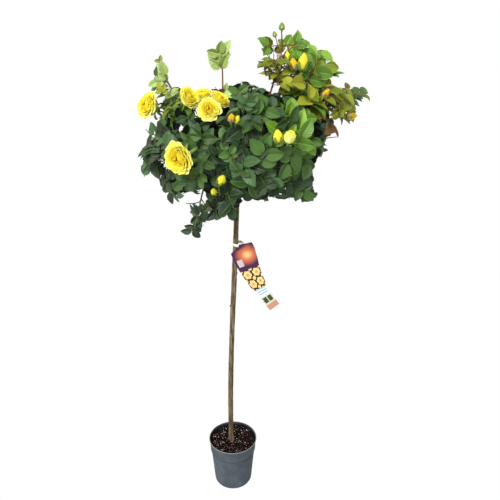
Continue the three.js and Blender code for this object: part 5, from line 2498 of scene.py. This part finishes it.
@dataclass
class Blossom:
    """The flowers and buds, each with its petals, its sepals and its hip."""

    crown: Crown
    rows: int = 9
    columns: int = 8
    thickness: float = 0.0005
    ruffle: float = 0.034
    roll: float = 0.02
    wave: float = 0.012
    round_rim: float = 0.30
    heart_tone: float = 4.1
    paler_outside: float = 3.3
    paler_rim: float = 0.9
    sepals: int = 5
    pointed_tip: float = 0.75
    hip_heights: tuple[float, ...] = (-0.42, -0.34, -0.18, 0.0, 0.08)
    hip_radii: tuple[float, ...] = (0.07, 0.16, 0.20, 0.15, 0.10)
    seed: int = 11

    def __post_init__(self) -> None:
        """Seeds the small differences between petals."""
        self.random = np.random.default_rng(self.seed)

    def build(self) -> list[Piece]:
        """Makes all the petals as one piece, and all that is green as another.

        Returns:
            The two pieces.
        """
        petals = Heap()
        greens = Heap()
        for flower in FLOWERS:
            place = self._place(flower)
            habit = HABITS[flower.kind]
            for number in range(habit.petals):
                shape, slots = self._petal(flower, habit, number)
                petals.add(self._moved(shape, place), slots)
            for shape in self._greens(flower, habit):
                greens.add(self._moved(shape, place))
        return [
            petals.settled("petals", 60, PETALS),
            greens.settled("sepals_and_hips", 50, [SEPAL]),
        ]

    def _place(self, flower: Flower) -> Array:
        """A flower's place, as a 3 by 4 matrix that turns the Z axis to the way it faces.

        Args:
            flower: The flower.

        Returns:
            The matrix.
        """
        facing = unit(np.array(flower.facing))
        side, _ = across(facing)
        return np.stack([side, np.cross(facing, side), facing, np.array(flower.centre)], axis=1)

    def _moved(self, shape: Shape, place: Array) -> Shape:
        """A shape at its place."""
        return Shape(shape.points @ place[:, :3].T + place[:, 3], shape.quads, shape.triangles)

    def _sheet(
        self, bend: Bend, width: float, turn: float, rows: int, columns: int, point: float
    ) -> Array:
        """A curved sheet round a flower's axis.

        Args:
            bend: The line that it follows.
            width: The flower's width.
            turn: Where the sheet stands round the axis.
            rows: How many rows of points it has.
            columns: How many points each row has.
            point: How much shorter its sides are than its middle.

        Returns:
            Its rows of points.
        """
        up = np.linspace(0, 1, rows)[:, None]
        sides = np.linspace(-1, 1, columns)[None]
        share = up * (1 - point * np.abs(sides) ** 2.6)
        out, rise = bend.at(share)
        half = bend.half * np.sin(0.5 * math.pi * np.minimum(1, up / 0.6)) ** 0.8
        middle_out, _ = bend.at(up)
        angle = turn + sides * np.minimum(half / np.maximum(middle_out, 0.05), 1.5)
        ruffle = self.ruffle * np.sin(4.5 * sides + turn * 3) * up**3
        reach = np.maximum(out + ruffle + self.roll * sides**2 * up**2, 0.004)
        wave = self.wave * np.cos(3 * sides + turn * 2) * up**2
        return np.stack([reach * np.cos(angle), reach * np.sin(angle), rise + wave], axis=-1) * width

    def _petal(self, flower: Flower, habit: Habit, number: int) -> tuple[Shape, Array]:
        """One petal.

        Args:
            flower: The flower that it is part of.
            habit: How that kind of flower is built.
            number: Its number, from the flower's heart outwards.

        Returns:
            The petal, and the material slot of each of its faces.
        """
        rank = number / (habit.petals - 1)
        turn = number * GOLDEN_TURN + self.random.uniform(-0.2, 0.2)
        width = flower.width * self.random.uniform(0.97 - 0.13 * rank, 1.0)
        grid = self._sheet(habit.petal(rank), width, turn, self.rows, self.columns, self.round_rim)
        shape = shell(grid, self.thickness)
        return shape, self._petal_slots(flower, rank, len(shape.quads))

    def _petal_slots(self, flower: Flower, rank: float, faces: int) -> Array:
        """The tone of each face of a petal: deeper at its foot and in the heart, paler at its rim.

        Args:
            flower: The flower.
            rank: The petal's rank, from 0 in the heart to 1 outside.
            faces: How many faces the petal has.

        Returns:
            The material slot of each face.
        """
        rows = np.repeat(np.arange(self.rows - 1), self.columns - 1) / (self.rows - 2)
        tone = self.heart_tone - self.paler_outside * rank**0.75 - self.paler_rim * rows
        tone = tone + self.random.uniform(-0.4, 0.4)
        sheet = np.clip(np.round(tone), PetalTone.CREAM, PetalTone.AMBER).astype(int)
        if flower.kind == Kind.BUD:
            sheet = np.clip(sheet, PetalTone.YELLOW, PetalTone.GOLD)
        if flower.coral:
            sheet = np.where(rows < 0.7, PetalTone.CORAL, PetalTone.GOLD)
        slots = np.full(faces, sheet[-1])
        slots[: len(sheet)] = sheet
        slots[len(sheet) : 2 * len(sheet)] = sheet
        return slots

    def _greens(self, flower: Flower, habit: Habit) -> list[Shape]:
        """The hip under a flower and its sepals.

        Args:
            flower: The flower.
            habit: How its kind is built.

        Returns:
            The hip and each sepal.
        """
        width = flower.width
        hip = width * habit.hip
        heights = habit.foot * width + hip * np.array(self.hip_heights)
        level = np.zeros_like(heights)
        made = [tube(np.stack([level, level, heights], axis=1), hip * np.array(self.hip_radii), 10)]
        for i in range(self.sepals):
            turn = i * FULL_TURN / self.sepals + self.random.uniform(-0.1, 0.1)
            made.append(shell(self._sheet(habit.sepal, width, turn, 7, 4, self.pointed_tip), self.thickness))
        return made


# The label


@dataclass
class Label:
    """The curved label that hangs on the stem by a loose strap."""

    crown: Crown
    height: float = 0.934
    loop: float = 0.017
    strap: float = 0.009
    stem: float = 0.0085
    first_tilt: float = 0.24
    last_tilt: float = 0.70
    edges: tuple[Point, ...] = (
        (0.0, -0.007, 0.034),
        (0.007, -0.009, 0.036),
        (0.020, -0.038, 0.038),
        (0.058, -0.0365, 0.0365),
        (0.094, -0.0305, 0.0305),
        (0.137, -0.026, 0.026),
        (0.184, -0.0205, 0.0205),
        (0.238, -0.0185, 0.0185),
    )

    def build(self) -> list[Piece]:
        """Makes the printed card and the strap.

        Returns:
            The two pieces.
        """
        share = float(np.interp(self.height, self.crown.stem.points[:, 2], self.crown.stem.marks))
        self.slack = self.loop - self.stem
        self.centre = self.crown.stem.at(share / self.crown.stem.length) + (self.slack, 0, 0)
        return [self._card(), self._strap()]

    def _card(self) -> Piece:
        """The card, shaped from a grid that keeps its UV map.

        Returns:
            The piece.
        """
        card = added(bpy.ops.mesh.primitive_grid_add, x_subdivisions=12, y_subdivisions=60, size=2)
        card.name = "label_card"
        points = points_of(card)
        lengths, left, right = zip(*self.edges)
        down = (1 - (points[:, 1] + 1) / 2) * lengths[-1]
        radius = lengths[-1] / (self.last_tilt - self.first_tilt)
        turn = self.first_tilt + down / radius
        share = (points[:, 0] + 1) / 2
        out = np.interp(down, lengths, left) * (1 - share) + np.interp(down, lengths, right) * share
        x = radius * (math.cos(self.first_tilt) - np.cos(turn)) + out * np.cos(turn)
        z = radius * (math.sin(self.first_tilt) - np.sin(turn)) + out * np.sin(turn)
        bow = 0.012 * (down / lengths[-1]) ** 2 + 60 * out**2 * 0.03
        place = self.centre + (self.slack, -self.loop - 0.0004, self.strap / 2)
        move_points(card, np.stack([x, -bow, z], axis=1) + place)
        finished(card, "SOLIDIFY", thickness=0.0005, offset=0.0)
        smooth(card, 40)
        return settle(card, [PRINT], ["tag"])

    def _strap(self) -> Piece:
        """The loop of the strap round the stem.

        Returns:
            The piece.
        """
        size = {"vertices": 64, "radius": self.loop, "depth": self.strap, "end_fill_type": "NOTHING"}
        strap = added(bpy.ops.mesh.primitive_cylinder_add, **size, location=tuple(self.centre))
        strap.name = "label_strap"
        bpy.ops.object.transform_apply(location=True, rotation=True, scale=True)
        finished(strap, "SOLIDIFY", thickness=0.0006, offset=0.0)
        finished(strap, "BEVEL", width=0.0002, segments=2, limit_method="ANGLE")
        smooth(strap, 40)
        return settle(strap, [WHITE_STRAP])


# The view


@dataclass
class View:
    """The camera, where the photographer stood."""

    place: Point = (0.062, -1.612, 1.580)
    pitch: float = 22.5
    lens: float = 40.32
    sensor: float = 36.0

    def build(self) -> None:
        """Makes the camera."""
        camera = bpy.data.cameras.new("view")
        camera.lens = self.lens
        camera.sensor_width = self.sensor
        camera.sensor_fit = "HORIZONTAL"
        made = bpy.data.objects.new("view", camera)
        made.location = self.place
        made.rotation_euler = (math.radians(90 - self.pitch), 0, 0)
        bpy.context.scene.collection.objects.link(made)
        bpy.context.scene.camera = made


@dataclass
class Studio:
    """A white studio whose floor shows no shadow and throws little light back."""

    white: Colour = (1.0, 1.0, 1.0, 1.0)
    bounce: Colour = paint(178, 178, 178)
    sky: float = 1.0
    key: Point = (-1.55, -2.5, 2.2)
    key_strength: float = 3.3
    back: Point = (0.1, 2.6, 1.3)
    back_strength: float = 0.7
    softness: float = 20.0

    def build(self) -> None:
        """Makes the floor, the sky and the lights."""
        floor = added(bpy.ops.mesh.primitive_plane_add, size=2000)
        floor.name = "floor"
        floor.data.materials.append(self._paper())
        world = bpy.data.worlds.new("sky")
        bpy.context.scene.world = world
        world.use_nodes = True
        background = world.node_tree.nodes["Background"]
        background.inputs["Color"].default_value = self.white
        background.inputs["Strength"].default_value = self.sky
        self._light("key", self.key, self.key_strength)
        self._light("back", self.back, self.back_strength)
        bpy.context.scene.view_settings.view_transform = "Standard"

    def _paper(self) -> bpy.types.Material:
        """The floor's finish: glowing white to the eye, and grey to the light that falls on it.

        Returns:
            The material.
        """
        graph = Graph("floor")
        seen = graph.add("ShaderNodeLightPath", output="Is Camera Ray")
        matte = graph.add("ShaderNodeBsdfDiffuse", inputs={"Color": self.bounce})
        glow = graph.add("ShaderNodeEmission", inputs={"Color": self.white, "Strength": 1.0})
        graph.add_output(graph.add("ShaderNodeMixShader", inputs={0: seen, 1: matte, 2: glow}))
        return graph.material

    def _light(self, name: str, way: Point, strength: float) -> None:
        """Adds a soft even light from one way.

        Args:
            name: Its name.
            way: Where it comes from.
            strength: Its strength.
        """
        lamp = bpy.data.lights.new(name, "SUN")
        lamp.angle = math.radians(self.softness)
        lamp.energy = strength
        made = bpy.data.objects.new(name, lamp)
        made.location = way
        made.rotation_euler = Vector(way).to_track_quat("Z", "Y").to_euler()
        bpy.context.scene.collection.objects.link(made)


def main() -> None:
    """Builds the view, the plant and its pot, and logs the names of their pieces."""
    logging.basicConfig(level=logging.INFO, format="%(message)s", force=True)
    View().build()
    Studio().build()
    crown = Crown()
    crown.grow()
    for part in (Pot(), Compost(), Wood(crown), Foliage(crown), Blossom(crown), Label(crown)):
        pieces = part.build()
        log.info("%s: %s", type(part).__name__, ", ".join(piece.name for piece in pieces))


if __name__ == "__main__":
    main()
